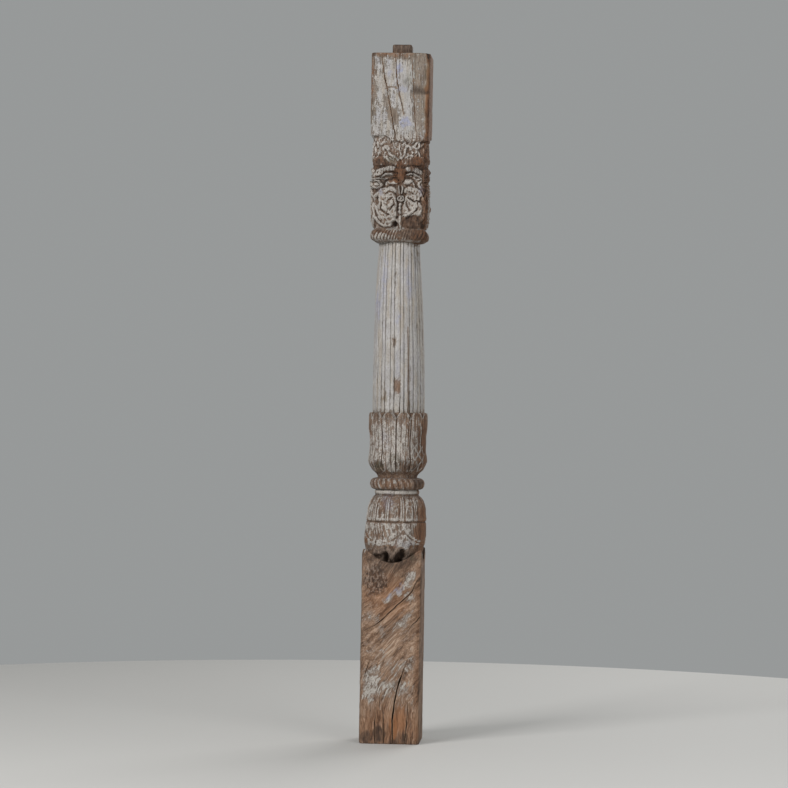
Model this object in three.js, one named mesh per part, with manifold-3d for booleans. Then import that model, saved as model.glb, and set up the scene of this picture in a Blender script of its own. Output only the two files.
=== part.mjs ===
// A carved timber pillar: square foot, turned pot, gadrooned ring, bell of petals, fluted shaft,
// rope moulding, cushion capital with leaf scrolls, square head and stub tenon.
// Millimetres, +Z up. The front face looks towards -Y and +X is to its right.
// The pillar was cut from one length of timber, so it is one closed solid.

import * as THREE from 'three';
import Module from 'manifold-3d';
import { mergeVertices } from 'three/addons/utils/BufferGeometryUtils.js';

const wasm = await Module();
wasm.setup();

// Half widths of the square stock, measured to its flat faces
const FOOT_HALF = 82.5;
const HEAD_HALF = 80;
const CAPITAL_HALF = 74;
const ARRIS_WEAR = 0.1; // share of the half width that is worn off each arris

// Heights above the ground
const SHOULDER_LOW = 487; // foot shoulder at the middle of a face
const POT_FOOT = 470;
const POT_BELLY = 560;
const POT_LINE = 597; // incised line round the pot
const POT_TOP = 669;
const RING_MIDDLE = 698;
const BELL_FOOT = 714;
const BELL_RIM = 892;
const SHAFT_TOP = 1350;
const MOULDING_MIDDLE = 1367;
const LOBE_FOOT = 1390;
const LOBE_MIDDLE = 1443;
const LOBE_HEAD = 1503;
const FRIEZE_FOOT = 1556;
const HEAD_FOOT = 1632;
const HEAD_TOP = 1859;
const TENON_TOP = 1887;

// Radii of the turned and round parts
const POT_RADIUS = 83;
const NECK_RADIUS = 61;
const RING_RADIUS = 74;
const BELL_RADIUS = 75.8;
const BELL_BEAD = 79.4; // the bell's rim and the swelling at its foot
const SHAFT_FOOT_RADIUS = 70.2;
const SHAFT_TOP_RADIUS = 55.4;
const SHAFT_SWELL = 2.2; // power of the taper, above 1 for a shaft that narrows faster near the top

// Repeats round the pillar
const PETALS = 12; // on the pot and on the bell
const FLUTES = 16;
const GADROONS = 28;
const ROPE_TEETH = 64;
const SWAGS = 4;

// The seasoned timber isn't straight: heights, and how far its middle stands right of the foot's
const SWAY = [
  [480, 0],
  [640, 6],
  [900, 6],
  [1340, 1.2],
  [1900, 1.2],
];

// How far right of the face's middle line the front of the capital was carved
const CAPITAL_SHIFT = 5;

const TENON_WIDTH = 54;
const TENON_DEPTH = 50;
const SINK = 3; // how far carved work is rooted below the surface that carries it

const TURN = Math.PI * 2;
const DEGREE = Math.PI / 180;

// Solids from rings

// A geometry with shared corners, as a solid that can be joined and cut.
function solidOf(geometry) {
  geometry.deleteAttribute('normal');
  geometry.deleteAttribute('uv');
  const merged = mergeVertices(geometry);
  return new wasm.Manifold(new wasm.Mesh({
    numProp: 3,
    vertProperties: merged.attributes.position.array,
    triVerts: Uint32Array.from(merged.index.array),
  }));
}

// The point halfway between all the points of a ring.
function middleOf(ring) {
  const sum = ring.reduce((total, point) => total.map((value, axis) => value + point[axis]), [0, 0, 0]);
  return sum.map((value) => value / ring.length);
}

// A closed solid from rings with equal numbers of points, run anticlockwise seen from the last
// ring, with a fan over each end.
function skin(rings) {
  const count = rings[0].length;
  const points = [...rings.flat(), middleOf(rings[0]), middleOf(rings.at(-1))];
  const first = points.length - 2;
  const last = points.length - 1;
  const top = count * (rings.length - 1);
  const index = [];
  for (let i = 0; i < count; i += 1) {
    const next = (i + 1) % count;
    index.push(first, next, i);
    for (let row = 0; row < top; row += count) {
      index.push(row + i, row + next, row + count + next);
      index.push(row + i, row + count + next, row + count + i);
    }
    index.push(last, top + i, top + next);
  }
  const geometry = new THREE.BufferGeometry();
  geometry.setAttribute('position', new THREE.Float32BufferAttribute(points.flat(), 3));
  geometry.setIndex(index);
  return solidOf(geometry);
}

// A solid round the pillar's axis: place(angle, row) gives the radius and height at an angle.
function roundSkin(angles, rows, place) {
  return skin(rows.map((row) => angles.map((angle, column) => {
    const [radius, height] = place(angle, row, column);
    return [radius * Math.cos(angle), radius * Math.sin(angle), height];
  })));
}

// Equal steps round the pillar.
function stepsRound(count) {
  return Array.from({ length: count }, (_, step) => (step / count) * TURN);
}

// The same few angles, in degrees, in each of the four quarters.
function inEachQuarter(degrees) {
  return [0, 90, 180, 270].flatMap((start) => degrees.map((angle) => (start + angle) * DEGREE));
}

// Distance from the axis to a square stock with its arrises worn to narrow flats.
function squareRadius(angle, half) {
  const across = Math.abs(Math.cos(angle));
  const along = Math.abs(Math.sin(angle));
  const face = half / Math.max(across, along);
  const arris = (half * (2 - ARRIS_WEAR)) / (across + along);
  return Math.min(face, arris);
}

// Distance from the axis to a square with rounded corners. A higher power has sharper corners.
function cushionRadius(angle, half, power) {
  const sum = Math.abs(Math.cos(angle)) ** power + Math.abs(Math.sin(angle)) ** power;
  return half / sum ** (1 / power);
}

// The angles at which a square stock has its points: closer together at the worn arrises.
const STOCK_ANGLES = inEachQuarter([0, 20, 37, 42.1, 47.9, 53, 70]);

// Shallow weathering of a sawn face, always inwards.
function weathering(angle, height) {
  return 0.7 * (1 + Math.sin(5 * angle + height / 37) * Math.cos(3 * angle - height / 61));
}

// The foot block and its turned shoulder

// The shoulder is a cone turned into the square stock, so it climbs to a spur at each corner.
const SHOULDER_SLOPE = 1.25;

function shoulderHeight(radius) {
  return SHOULDER_LOW + (radius - FOOT_HALF) * SHOULDER_SLOPE;
}

function foot() {
  const rows = [
    { height: 0, inset: 2 },
    { height: 6, inset: 0 },
    { height: 150, weather: 1 },
    { height: 310, weather: 1 },
    { belowShoulder: 9, weather: 1 },
    { belowShoulder: 0, inset: 4 },
    { radius: 66, height: 474 },
    { radius: 45, height: 476 },
  ];
  return roundSkin(STOCK_ANGLES, rows, (angle, row) => {
    if (row.radius) return [row.radius, row.height];
    const edge = squareRadius(angle, FOOT_HALF) - (row.inset ?? 0);
    const height = row.height ?? shoulderHeight(edge) - row.belowShoulder;
    return [edge - (row.weather ? weathering(angle, height) : 0), height];
  });
}

// The pot, its fillet and the ring above it

// The turned outline of the pot, from its rotted foot to the fillet under the ring.
const POT_OUTLINE = [
  [POT_FOOT, 48],
  [486, 60],
  [512, 76],
  [POT_BELLY, POT_RADIUS],
  [POT_LINE - 3, 82],
  [POT_LINE, 79.5],
  [POT_LINE + 3, 81.5],
  [633, 78.3],
  [651, 73],
  [POT_TOP - 1, 59],
  [POT_TOP + 2, NECK_RADIUS],
  [POT_TOP + 10, NECK_RADIUS],
  [POT_TOP + 18, 45],
];
const POT_GROOVE = 3;

// Radius of a turned outline at a height, by straight lines between its points.
function outlineRadius(outline, height) {
  const above = outline.findIndex((point) => point[0] >= height);
  const [z1, r1] = outline[above];
  const [z0, r0] = outline[above - 1];
  return r0 + ((height - z0) / (z1 - z0)) * (r1 - r0);
}

// Columns round the pillar for repeats of a section, whose steps are a share of the pitch and a
// depth. The first repeat begins so many pitches to the right of the front's middle.
function repeated(count, section, start) {
  const pitch = TURN / count;
  return Array.from({ length: count }, (_, repeat) => section.map(
    ([share, depth]) => ({ angle: (repeat + share + start) * pitch - TURN / 4, depth }),
  )).flat();
}

// One petal of the pot, from the groove on its left.
const POT_SECTION = [
  [0, POT_GROOVE],
  [0.17, 0],
  [0.83, 0],
];

function pot() {
  const columns = repeated(PETALS, POT_SECTION, 0.5);
  return roundSkin(columns.map(({ angle }) => angle), POT_OUTLINE, (_, [height, radius], column) => {
    const onPetals = height > POT_LINE && height < POT_TOP - 1;
    return [radius - (onPetals ? columns[column].depth : 0), height];
  });
}

function ring() {
  const columns = 2;
  const groove = 4.5;
  const slant = 0.0016; // radians for each millimetre of height
  const outline = [[-17, 55], [-7, RING_RADIUS], [8, RING_RADIUS], [17, 50]];
  const rings = outline.map(([rise, radius]) => {
    const carved = radius === RING_RADIUS ? groove : 0;
    return stepsRound(GADROONS * columns).map((step, column) => {
      const angle = step - rise * slant;
      const r = radius - (column % columns === 0 ? carved : 0);
      return [r * Math.cos(angle), r * Math.sin(angle), RING_MIDDLE + rise];
    });
  });
  return skin(rings);
}

// The bell of upright petals

const BELL_OUTLINE = [
  [BELL_FOOT - 2, 52, 0],
  [738, 69, 2],
  [763, BELL_BEAD, 3.5],
  [782, BELL_RADIUS, 3.5],
  [840, BELL_BEAD, 3.5],
  [BELL_RIM, BELL_BEAD - 1, 4],
];
const NOTCH = 15; // drop of the rim in the dart between two petals

// One petal of the bell, from the gap on its left: share of the pitch, and share of the groove's
// depth. The middle stands out as a rib.
const BELL_SECTION = [
  [0, 1],
  [0.16, 0],
  [0.5, -0.35],
  [0.84, 0],
];

function bell() {
  const columns = repeated(PETALS, BELL_SECTION, 0);
  const rows = [...BELL_OUTLINE, [BELL_RIM - 16, SHAFT_FOOT_RADIUS - 8, 0]];
  return roundSkin(columns.map(({ angle }) => angle), rows, (_, [height, radius, groove], column) => {
    const { depth } = columns[column];
    const lowered = height === BELL_RIM && depth === 1 ? NOTCH : 0;
    return [radius - depth * groove, height - lowered];
  });
}

// The fluted shaft

// Radius of the shaft at a height: it swells downwards along a power curve.
function shaftRadius(height) {
  const climb = Math.min(Math.max((height - BELL_RIM) / (SHAFT_TOP - BELL_RIM), 0), 1);
  return SHAFT_FOOT_RADIUS + (SHAFT_TOP_RADIUS - SHAFT_FOOT_RADIUS) * climb ** SHAFT_SWELL;
}

// One flute and one fillet, with an incised line on each side: share of the pitch and depth.
const FLUTE_SECTION = [
  [0, 2.6],
  [0.06, 0],
  [0.54, 0],
  [0.6, 2.6],
  [0.66, -0.4],
  [0.94, -0.4],
];

function shaft() {
  const columns = repeated(FLUTES, FLUTE_SECTION, -0.3);
  const heights = [BELL_RIM - 20, 1060, 1220, SHAFT_TOP + 8];
  return roundSkin(columns.map(({ angle }) => angle), heights, (_, height, column) => [
    shaftRadius(height) - columns[column].depth,
    height,
  ]);
}

// The rope moulding under the capital: a square torus with slanted teeth

const CORNER_POWER = 6;

function ropeMoulding() {
  const outline = [[-17, 62, 0], [-9, 77.5, 2.5], [10, 77.5, 2.5], [19, 62, 0]];
  const slant = 0.0035;
  const rings = outline.map(([rise, half, tooth]) => stepsRound(ROPE_TEETH * 2).map((step, column) => {
    const angle = step - (tooth ? rise * slant : 0);
    const radius = cushionRadius(angle, half, CORNER_POWER) - (column % 2 ? tooth : 0);
    return [radius * Math.cos(angle), radius * Math.sin(angle), MOULDING_MIDDLE + rise];
  }));
  return skin(rings);
}

// The capital: a cushion under a frieze, both nearly the full width of the stock

const CAPITAL_OUTLINE = [
  [LOBE_FOOT - 12, 66],
  [LOBE_FOOT + 6, 71],
  [LOBE_MIDDLE, CAPITAL_HALF],
  [LOBE_HEAD + 12, 67],
  [FRIEZE_FOOT + 4, 76],
  [FRIEZE_FOOT + 24, 76],
  [HEAD_FOOT + 8, 74],
];

const CUSHION_ANGLES = inEachQuarter([0, 28, 39, 51, 62]);

function cushion() {
  return roundSkin(CUSHION_ANGLES, CAPITAL_OUTLINE, (angle, [height, half]) => [
    cushionRadius(angle, half, CORNER_POWER),
    height,
  ]);
}

// The square head and the tenon

function head() {
  const rows = [[HEAD_FOOT - 8, 3], [HEAD_FOOT + 2, 0], [HEAD_TOP - 5, 0.3], [HEAD_TOP, 2]];
  return roundSkin(STOCK_ANGLES, rows, (angle, [height, inset]) => [
    squareRadius(angle, HEAD_HALF) - inset - weathering(angle, height) * (height < HEAD_TOP ? 1 : 0),
    height,
  ]);
}

function tenon() {
  const rows = [[HEAD_TOP - 20, 0], [TENON_TOP - 5, 0], [TENON_TOP, 5]];
  return skin(rows.map(([height, inset]) => {
    const x = TENON_WIDTH / 2 - inset;
    const y = TENON_DEPTH / 2 - inset;
    return [[x, y, height], [-x, y, height], [-x, -y, height], [x, -y, height]];
  }));
}

// Carved strokes: ridges that follow a path over a face or round the pot

// A place on a face of the capital: across, up, and outwards from the cushion.
function onCapital(across, height, lift) {
  const half = outlineRadius(CAPITAL_OUTLINE, height);
  const share = Math.min(Math.abs(across) / half, 0.97);
  const depth = half * (1 - share ** CORNER_POWER) ** (1 / CORNER_POWER);
  return [across, -(depth + lift), height];
}

// The same on the front, where the carving stands to the right, but not at the two corners.
function onFront(across, height, lift) {
  return onCapital(across + CAPITAL_SHIFT * Math.max(1 - (across / CAPITAL_HALF) ** 2, 0), height, lift);
}

// A place on the pot: across is measured round its belly, from the middle of the front.
function onPot(across, height, lift) {
  const angle = across / POT_RADIUS - TURN / 4;
  const radius = outlineRadius(POT_OUTLINE, height) + lift;
  return [radius * Math.cos(angle), radius * Math.sin(angle), height];
}

// A ridge along a path of [across, up] points, widest in the middle of its length. It has two
// flanks, a crest and a root. The tip is the share of its width that is left at both ends.
function stroke(path, width, crest, surface, tip = 0.15) {
  const rings = path.map(([across, up], step) => {
    const [beforeX, beforeY] = path[Math.max(step - 1, 0)];
    const [afterX, afterY] = path[Math.min(step + 1, path.length - 1)];
    const length = Math.hypot(afterX - beforeX, afterY - beforeY);
    const sideX = (afterY - beforeY) / length;
    const sideY = -(afterX - beforeX) / length;
    const swell = tip + (1 - tip) * Math.sin((step / (path.length - 1)) * Math.PI) ** 0.6;
    const reach = (width / 2) * swell;
    return [
      surface(across - sideX * reach, up - sideY * reach, -1),
      surface(across, up, crest * swell),
      surface(across + sideX * reach, up + sideY * reach, -1),
      surface(across, up, -SINK - 1),
    ];
  });
  return skin(rings);
}

// Points along an elliptical curl that winds inwards. Angles are in degrees from the right,
// and shrink is the share of the radius lost on the way.
function curlPath({ across, up, reachAcross, reachUp, from, to, shrink, steps }) {
  return Array.from({ length: steps }, (_, step) => {
    const share = step / (steps - 1);
    const angle = (from + (to - from) * share) * DEGREE;
    const left = 1 - shrink * share;
    return [across + reachAcross * left * Math.cos(angle), up + reachUp * left * Math.sin(angle)];
  });
}

// The same path on the other side of the face's middle line.
function mirrored(path) {
  return path.map(([across, up]) => [-across, up]);
}

// The left half of a face's carving, as paths with the width and height of their ridges. The
// front has some more work than the other three faces.
function halfFaceStrokes(front) {
  const lobe = { across: -37, up: LOBE_MIDDLE + 2 };
  const rim = { ...lobe, reachAcross: 24, reachUp: 46, from: 50, to: 345, shrink: 0.1, steps: 7 };
  const inner = { ...lobe, reachAcross: 9, reachUp: 20, from: 60, to: 240, shrink: 0.2, steps: 4 };
  const eye = { across: -56, up: LOBE_HEAD + 6, reachAcross: 9, reachUp: 10 };
  const volute = { ...eye, from: -60, to: 210, shrink: 0.3, steps: 5 };
  const curl = { across: -51, up: 1600, reachAcross: 15, reachUp: 17 };
  const scroll = { ...curl, from: -60, to: 190, shrink: 0.3, steps: 5 };
  const strokes = [
    // The leaf scroll's rim
    { path: curlPath(rim), width: 21, crest: 7 },
    // The volute at the corner, and the leaf branch that droops from the knot
    { path: curlPath(volute), width: 9, crest: 7 },
    { path: [[-4, 1540], [-25, 1547], [-47, 1544], [-65, 1530]], width: 17, crest: 6.5 },
  ];
  const frontOnly = [
    // The curl and the finger inside the scroll
    { path: curlPath(inner), width: 14, crest: 6 },
    { path: [[-40, 1416], [-32, 1424], [-20, 1428]], width: 12, crest: 4.5 },
    // The diagonal rib and the curl of the frieze
    { path: [[-2, 1558], [-24, 1580], [-34, 1618]], width: 12, crest: 4.5 },
    { path: curlPath(scroll), width: 12, crest: 4.5 },
  ];
  return front ? [...strokes, ...frontOnly] : strokes;
}

// One face's carving, laid out on the front: the two halves, and what runs down the middle.
function faceStrokes(front) {
  const half = halfFaceStrokes(front);
  const both = half.flatMap((piece) => [piece, { ...piece, path: mirrored(piece.path) }]);
  // The knot and the rosette
  const middle = [
    { path: [[0, 1508], [0, 1522], [0, 1540], [0, 1554]], width: 26, crest: 8, tip: 0.3 },
    { path: [[0, 1456], [0, 1467], [0, 1478]], width: 20, crest: 6, tip: 0.4 },
  ];
  // The frieze's pointed petal and the two long beads
  const frontOnly = [
    { path: [[0, 1564], [0, 1584], [0, 1612]], width: 12, crest: 4, tip: 0.2 },
    { path: [[0, 1424], [0, 1434], [0, 1444]], width: 12, crest: 5, tip: 0.4 },
    { path: [[0, 1402], [0, 1412], [0, 1422]], width: 12, crest: 5, tip: 0.4 },
  ];
  const pieces = [...both, ...middle, ...(front ? frontOnly : [])];
  const surface = front ? onFront : onCapital;
  return pieces.map(({ path, width, crest, tip }) => stroke(path, width, crest, surface, tip));
}

// Where the first swag begins, right of the middle of the front
const SWAG_START = 15 * DEGREE;

// One swag of the pot, hung from the incised line at both ends.
function swag() {
  const span = (TURN / SWAGS) * POT_RADIUS;
  const drop = 50;
  const steps = 6;
  const path = Array.from({ length: steps }, (_, step) => {
    const share = step / (steps - 1);
    const across = SWAG_START * POT_RADIUS + share * span * 0.97;
    return [across, POT_LINE - 6 - drop * Math.sin(share * Math.PI)];
  });
  return stroke(path, 9, 1.8, onPot, 0.7);
}

// Damage: cracks along the grain and rotted hollows

// A wedge of air that opens a crack: a path of [across, up] points over a surface, narrowing to
// nothing at both ends.
function crack(path, width, depth, surface) {
  const proud = 4;
  const tip = 0.25;
  const rings = path.map(([across, up], step) => {
    const [beforeX, beforeY] = path[Math.max(step - 1, 0)];
    const [afterX, afterY] = path[Math.min(step + 1, path.length - 1)];
    const length = Math.hypot(afterX - beforeX, afterY - beforeY);
    const sideX = (afterY - beforeY) / length;
    const sideY = -(afterX - beforeX) / length;
    const open = tip + (1 - tip) * Math.sin(((step + 0.4) / (path.length - 0.2)) * Math.PI);
    const reach = (width / 2) * open;
    return [
      surface(across - sideX * reach, up - sideY * reach, proud),
      surface(across + sideX * reach, up + sideY * reach, proud),
      surface(across, up, -depth * open),
    ];
  });
  return skin(rings);
}

// A place on the front of the foot, of the head, or of the shaft 28 mm right of its middle.
const onFoot = (across, height, lift) => [across, -(FOOT_HALF + lift), height];
const onHead = (across, height, lift) => [across, -(HEAD_HALF + lift), height];
const onShaft = (across, height, lift) => {
  const radius = (height > BELL_RIM ? shaftRadius(height) : BELL_RADIUS) + lift;
  const angle = across * DEGREE - TURN / 4;
  return [radius * Math.cos(angle), radius * Math.sin(angle), height];
};

function cracks() {
  return [
    crack([[-51, 1866], [-39, 1778], [-28, 1721], [-12, 1639], [-4, 1606]], 5, 22, onHead),
    crack([[-15.7, 1866], [-10, 1794], [0, 1740], [17, 1683]], 5, 20, onHead),
    crack([[31.5, 1813], [39, 1705], [47, 1634]], 3.5, 14, onHead),
    crack([[-84, 297], [-42, 320], [-10, 347], [22, 379], [54, 410], [70, 440], [86, 466]], 4.5, 16, onFoot),
    crack([[86, 352], [58, 322], [39, 296]], 4, 12, onFoot),
    crack([[90, 289], [71, 262]], 3.5, 12, onFoot),
    crack([[32.5, 190], [22, 158], [16, 125], [8.5, 63], [10.5, -6]], 5, 20, onFoot),
    crack([[49.5, 95], [47, 50], [42, -4]], 3, 10, onFoot),
    crack([[-35, 92], [-36, -4]], 3, 10, onFoot),
    crack([[25, 1120], [25, 1000], [25.5, 880], [27, 770]], 3.5, 12, onShaft),
  ];
}

// A rounded hollow, with its middle and its three half sizes.
function hollow(middle, halves) {
  const geometry = new THREE.SphereGeometry(1, 6, 4);
  geometry.scale(...halves);
  geometry.translate(...middle);
  return solidOf(geometry);
}

function hollows() {
  return [
    hollow([-50, -66, 502], [11, 14, 13]), // rot under the pot, left
    hollow([-22, -72, 494], [11, 14, 12]),
    hollow([14, -74, 492], [14, 15, 13]),
    hollow([-12, -78, 1397], [6, 12, 8]), // the hole at the foot of the left scroll
    hollow([38, -84, 1403], [27, 15, 20]), // the broken foot of the right scroll
    hollow([68, -72, 1512], [16, 14, 22]), // the right corner volute, worn away
    hollow([84, -84, 1861], [12, 12, 14]), // the head's broken corner
  ];
}

// Joining, cutting and bending

// A solid's geometry, turned by quarter turns about the pillar's axis.
function turned(solid, quarters) {
  const geometry = geometryOf(solid);
  geometry.rotateZ((quarters * TURN) / 4);
  return solidOf(geometry);
}

function geometryOf(solid) {
  const mesh = solid.getMesh();
  const geometry = new THREE.BufferGeometry();
  geometry.setAttribute('position', new THREE.Float32BufferAttribute(Array.from(mesh.vertProperties), 3));
  geometry.setIndex(Array.from(mesh.triVerts));
  return geometry;
}

// How far the timber's middle stands to the right at a height, easing from one point to the next.
function sway(height) {
  const above = SWAY.findIndex((point) => point[0] >= height);
  if (above === 0) return SWAY[0][1];
  const [z0, x0] = SWAY[above - 1];
  const [z1, x1] = SWAY[above];
  return x0 + (x1 - x0) * THREE.MathUtils.smoothstep(height, z0, z1);
}

// Moves every point sideways by the sway at its height.
function bend(geometry) {
  const position = geometry.attributes.position;
  for (let i = 0; i < position.count; i += 1) {
    position.setX(i, position.getX(i) + sway(position.getZ(i)));
  }
  return geometry;
}

// Puts the origin under the middle of the whole pillar.
function centred(geometry) {
  geometry.computeBoundingBox();
  const { min, max } = geometry.boundingBox;
  return geometry.translate(-(min.x + max.x) / 2, -(min.y + max.y) / 2, -min.z);
}

function pillarGeometry() {
  const stock = [foot(), pot(), ring(), bell(), shaft(), ropeMoulding(), cushion(), head(), tenon()];
  const plain = [...faceStrokes(false), swag()];
  const others = [1, 2, 3].flatMap((quarters) => plain.map((piece) => turned(piece, quarters)));
  const whole = [...stock, ...faceStrokes(true), swag(), ...others].reduce((sum, piece) => sum.add(piece));
  const worn = [...cracks(), ...hollows()].reduce((sum, piece) => sum.subtract(piece), whole);
  return centred(bend(geometryOf(worn)));
}

// Weathered timber with the remains of pale paint
const timber = new THREE.MeshStandardMaterial({ color: 0x8f8174, roughness: 0.9, metalness: 0 });

const pillar = new THREE.Mesh(pillarGeometry(), timber);
pillar.name = 'pillar';

const group = new THREE.Group();
group.add(pillar);

export default group;
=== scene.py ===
import bpy
import numpy as np
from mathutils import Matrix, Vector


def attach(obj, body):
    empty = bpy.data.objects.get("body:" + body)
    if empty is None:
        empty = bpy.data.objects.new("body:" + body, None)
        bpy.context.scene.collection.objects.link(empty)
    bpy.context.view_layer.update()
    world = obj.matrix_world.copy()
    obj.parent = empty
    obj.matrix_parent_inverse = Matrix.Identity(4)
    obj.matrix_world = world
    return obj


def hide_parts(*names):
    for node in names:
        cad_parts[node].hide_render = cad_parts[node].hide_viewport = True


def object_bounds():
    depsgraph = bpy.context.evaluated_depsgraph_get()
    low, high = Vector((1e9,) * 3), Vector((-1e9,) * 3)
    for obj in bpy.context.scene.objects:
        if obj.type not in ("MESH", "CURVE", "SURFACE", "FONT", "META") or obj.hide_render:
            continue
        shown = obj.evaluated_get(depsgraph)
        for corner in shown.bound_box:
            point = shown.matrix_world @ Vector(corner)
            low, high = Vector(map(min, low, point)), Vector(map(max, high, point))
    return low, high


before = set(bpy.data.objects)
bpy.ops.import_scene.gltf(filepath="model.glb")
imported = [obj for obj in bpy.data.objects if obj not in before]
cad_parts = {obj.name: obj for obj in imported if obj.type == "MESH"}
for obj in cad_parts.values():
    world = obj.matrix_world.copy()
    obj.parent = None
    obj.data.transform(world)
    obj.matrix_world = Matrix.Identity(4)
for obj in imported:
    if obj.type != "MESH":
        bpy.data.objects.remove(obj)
cad_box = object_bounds()

# The foot
# A block of the squared stock, 165 mm a side, on its sawn end. It was left plain and never
# turned, so its grain shows: it sweeps up to the right round a knot, and weather has furrowed it.

TURN = 2 * np.pi
FOOT_HALF = 82.5
STOCK_POWER = 16  # the higher, the squarer the stock's arrises
FOOT_PLAIN_TOP = 440  # below this the rows of the skin are level
FOOT_ROWS = 114
CLIMB_ROWS = 14
SHOULDER_LOW = 487  # the shoulder's edge at the middle of a face
SHOULDER_SLOPE = 1.25  # it climbs to a spur at each corner
SHOULDER_FLOOR = 474
POT_ROOT = 62
GRAIN_TWIST = 4  # radians
WORM_PATCH = (-44, 438)  # on the front, across and up
WORM_REACH = (38, 46)
# The great crack across the front, from its left end up to the right arris
MAIN_CRACK = np.array([(-84, 297), (-42, 320), (-10, 347), (22, 379), (54, 410), (70, 440), (86, 466)])

bands = []


def scatter(i, j, k, seed):
    """A repeatable share from 0 to 1 for each whole corner of a lattice, by multiplying the three
    numbers by large primes and mixing their bits."""
    mixed = i * 73856093 ^ j * 19349663 ^ k * 83492791 ^ (seed + 7) * 40503
    mixed = (mixed ^ (mixed >> 13)) * 1274126177
    return ((mixed ^ (mixed >> 16)) & 65535) / 65535


def noise(x, y, z, seed=0):
    """Smooth noise from -1 to 1: the random shares at the eight corners round a point, each times
    its eased nearness along the three axes, added up."""
    x, y, z = np.broadcast_arrays(x, y, z)
    low = [np.floor(v).astype(np.int64) for v in (x, y, z)]
    ease = [s * s * (3 - 2 * s) for s in (x - low[0], y - low[1], z - low[2])]
    total = np.zeros(x.shape)
    for corner in range(8):
        step = [(corner >> axis) & 1 for axis in range(3)]
        near = [e if s else 1 - e for e, s in zip(ease, step)]
        share = scatter(low[0] + step[0], low[1] + step[1], low[2] + step[2], seed)
        total += near[0] * near[1] * near[2] * share
    return total * 2 - 1


def smoothly(value, start, end):
    """A share that eases from 0 at the start to 1 at the end: three squares less two cubes."""
    share = np.clip((value - start) / (end - start), 0, 1)
    return share * share * (3 - 2 * share)


def face_columns(front, other):
    """Angles round a square stock from the front's left arris, in equal steps across each face:
    the arctangent of the share of the half width, and a quarter turn for each face."""
    counts = (front, other, other, other)
    return np.concatenate([
        np.arctan(np.arange(count) / count * 2 - 1) + face * TURN / 4 for face, count in enumerate(counts)
    ])


def stock_radius(angle, half, power):
    """Distance from the axis to a square with rounded arrises: the half width over the sum of the
    powers of sine and cosine, with the root of that power taken."""
    return half / (np.abs(np.sin(angle)) ** power + np.abs(np.cos(angle)) ** power) ** (1 / power)


def on_face(angle, radius):
    """Which face a point is on, 0 for the front and then to the right, and how far across it."""
    face = np.floor((angle + TURN / 8) / (TURN / 4)).astype(int) % 4
    local = (angle + TURN / 8) % (TURN / 4) - TURN / 8
    return face, radius * np.sin(local)


def grain_turn(height):
    """How far the fibres have wound round the pillar: nothing low down, and an eased four radians
    by the top of the foot, which leans them to the right on every face."""
    return GRAIN_TWIST * smoothly(height, 80, 560)


def along_grain(angle, radius, height):
    """A point's place in the straight stick that the wound timber would make, unwound, with the
    slow waves of its fibres taken out. They wave most on the front, near the knot."""
    waves = np.where(np.cos(angle) > 0.7, 0.045, 0.02)
    unwound = angle - grain_turn(height) + waves * noise(angle * 7, height / 26, 0.5, 2)
    return radius * np.sin(unwound), -radius * np.cos(unwound), height


def furrows(angle, radius, height, seed, width=5, length=110):
    """Weathered furrows along the grain, from -1 to 0: narrow valleys where stretched noise
    passes through nothing, times a slower noise that makes them come and go."""
    x, y, z = along_grain(angle, radius, height)
    valley = np.clip(1 - np.abs(noise(x / width, y / width, z / length, seed)) / 0.22, 0, 1)
    come = smoothly(noise(x / 21, y / 21, z / 160, seed + 1), -0.5, 0.4)
    return -valley * come


def lumps(angle, radius, size, depth, seed):
    """Noise by a point's place across the pillar, its radius times sine and cosine, counted in
    lumps of one size. The depth is the third coordinate of the noise."""
    return noise(radius * np.sin(angle) / size, radius * np.cos(angle) / size, depth, seed)


def spot(across, up, middle, reach, tilt=0.0):
    """An oval spot with a soft edge, 1 in its middle: one less the square of the distance counted
    in its two half sizes, after turning by the tilt in degrees, and never under 0."""
    turn = np.radians(tilt)
    x = (across - middle[0]) * np.cos(turn) + (up - middle[1]) * np.sin(turn)
    y = (up - middle[1]) * np.cos(turn) - (across - middle[0]) * np.sin(turn)
    return np.clip(1 - (x / reach[0]) ** 2 - (y / reach[1]) ** 2, 0, 1)


def add_band(angle, radius, height, plain):
    """Keeps one stretch of the pillar's skin: rows from below to above, columns round it. The
    radius less the plain radius is what the carving and the weather put on or took off."""
    angle, radius, height, plain = np.broadcast_arrays(angle, radius, height, plain)
    bands.append({"angle": angle, "radius": radius, "height": height, "relief": radius - plain})


def shoulder_height(radius):
    """The cone that the shoulder is turned to: its height rises evenly with the radius."""
    return SHOULDER_LOW + (radius - FOOT_HALF) * SHOULDER_SLOPE


def foot_relief(angle, radius, height):
    """What weather took off the foot: furrows along the grain, slow waves, chipped arrises, and on
    the front a step below the great crack and a patch that worms have eaten."""
    face, across = on_face(angle, radius)
    front = face == 0
    x, y, z = along_grain(angle, radius, height)
    relief = 0.8 * furrows(angle, radius, height, 3, 4.5, 90)
    relief = relief + 0.9 * furrows(angle, radius, height, 5, 2.8, 42)
    relief += 0.8 * noise(x / 30, y / 30, z / 170, 8) - 0.9
    below = smoothly(np.interp(across, *MAIN_CRACK.T) - height, 0, 5)
    rough = noise(x / 3.6, y / 3.6, z / 26, 9)
    relief += np.where(front, below * (0.9 * rough - 1.2), 0.35 * rough)
    ragged_across = across + 12 * noise(height / 15, 0.5, 0.5, 16)
    eaten = np.sqrt(spot(ragged_across, height, WORM_PATCH, WORM_REACH)) * front
    holes = smoothly(noise(across / 3.3, 3.1, height / 4.4, 12), -0.05, 0.4)
    relief -= eaten * (0.6 + 3.6 * holes)
    edge = smoothly(np.abs(across), 56, 82)
    relief -= edge * 1.3 * smoothly(noise(face * 9.0, 1.0, height / 55, 14), -0.2, 0.9)
    return relief


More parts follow.
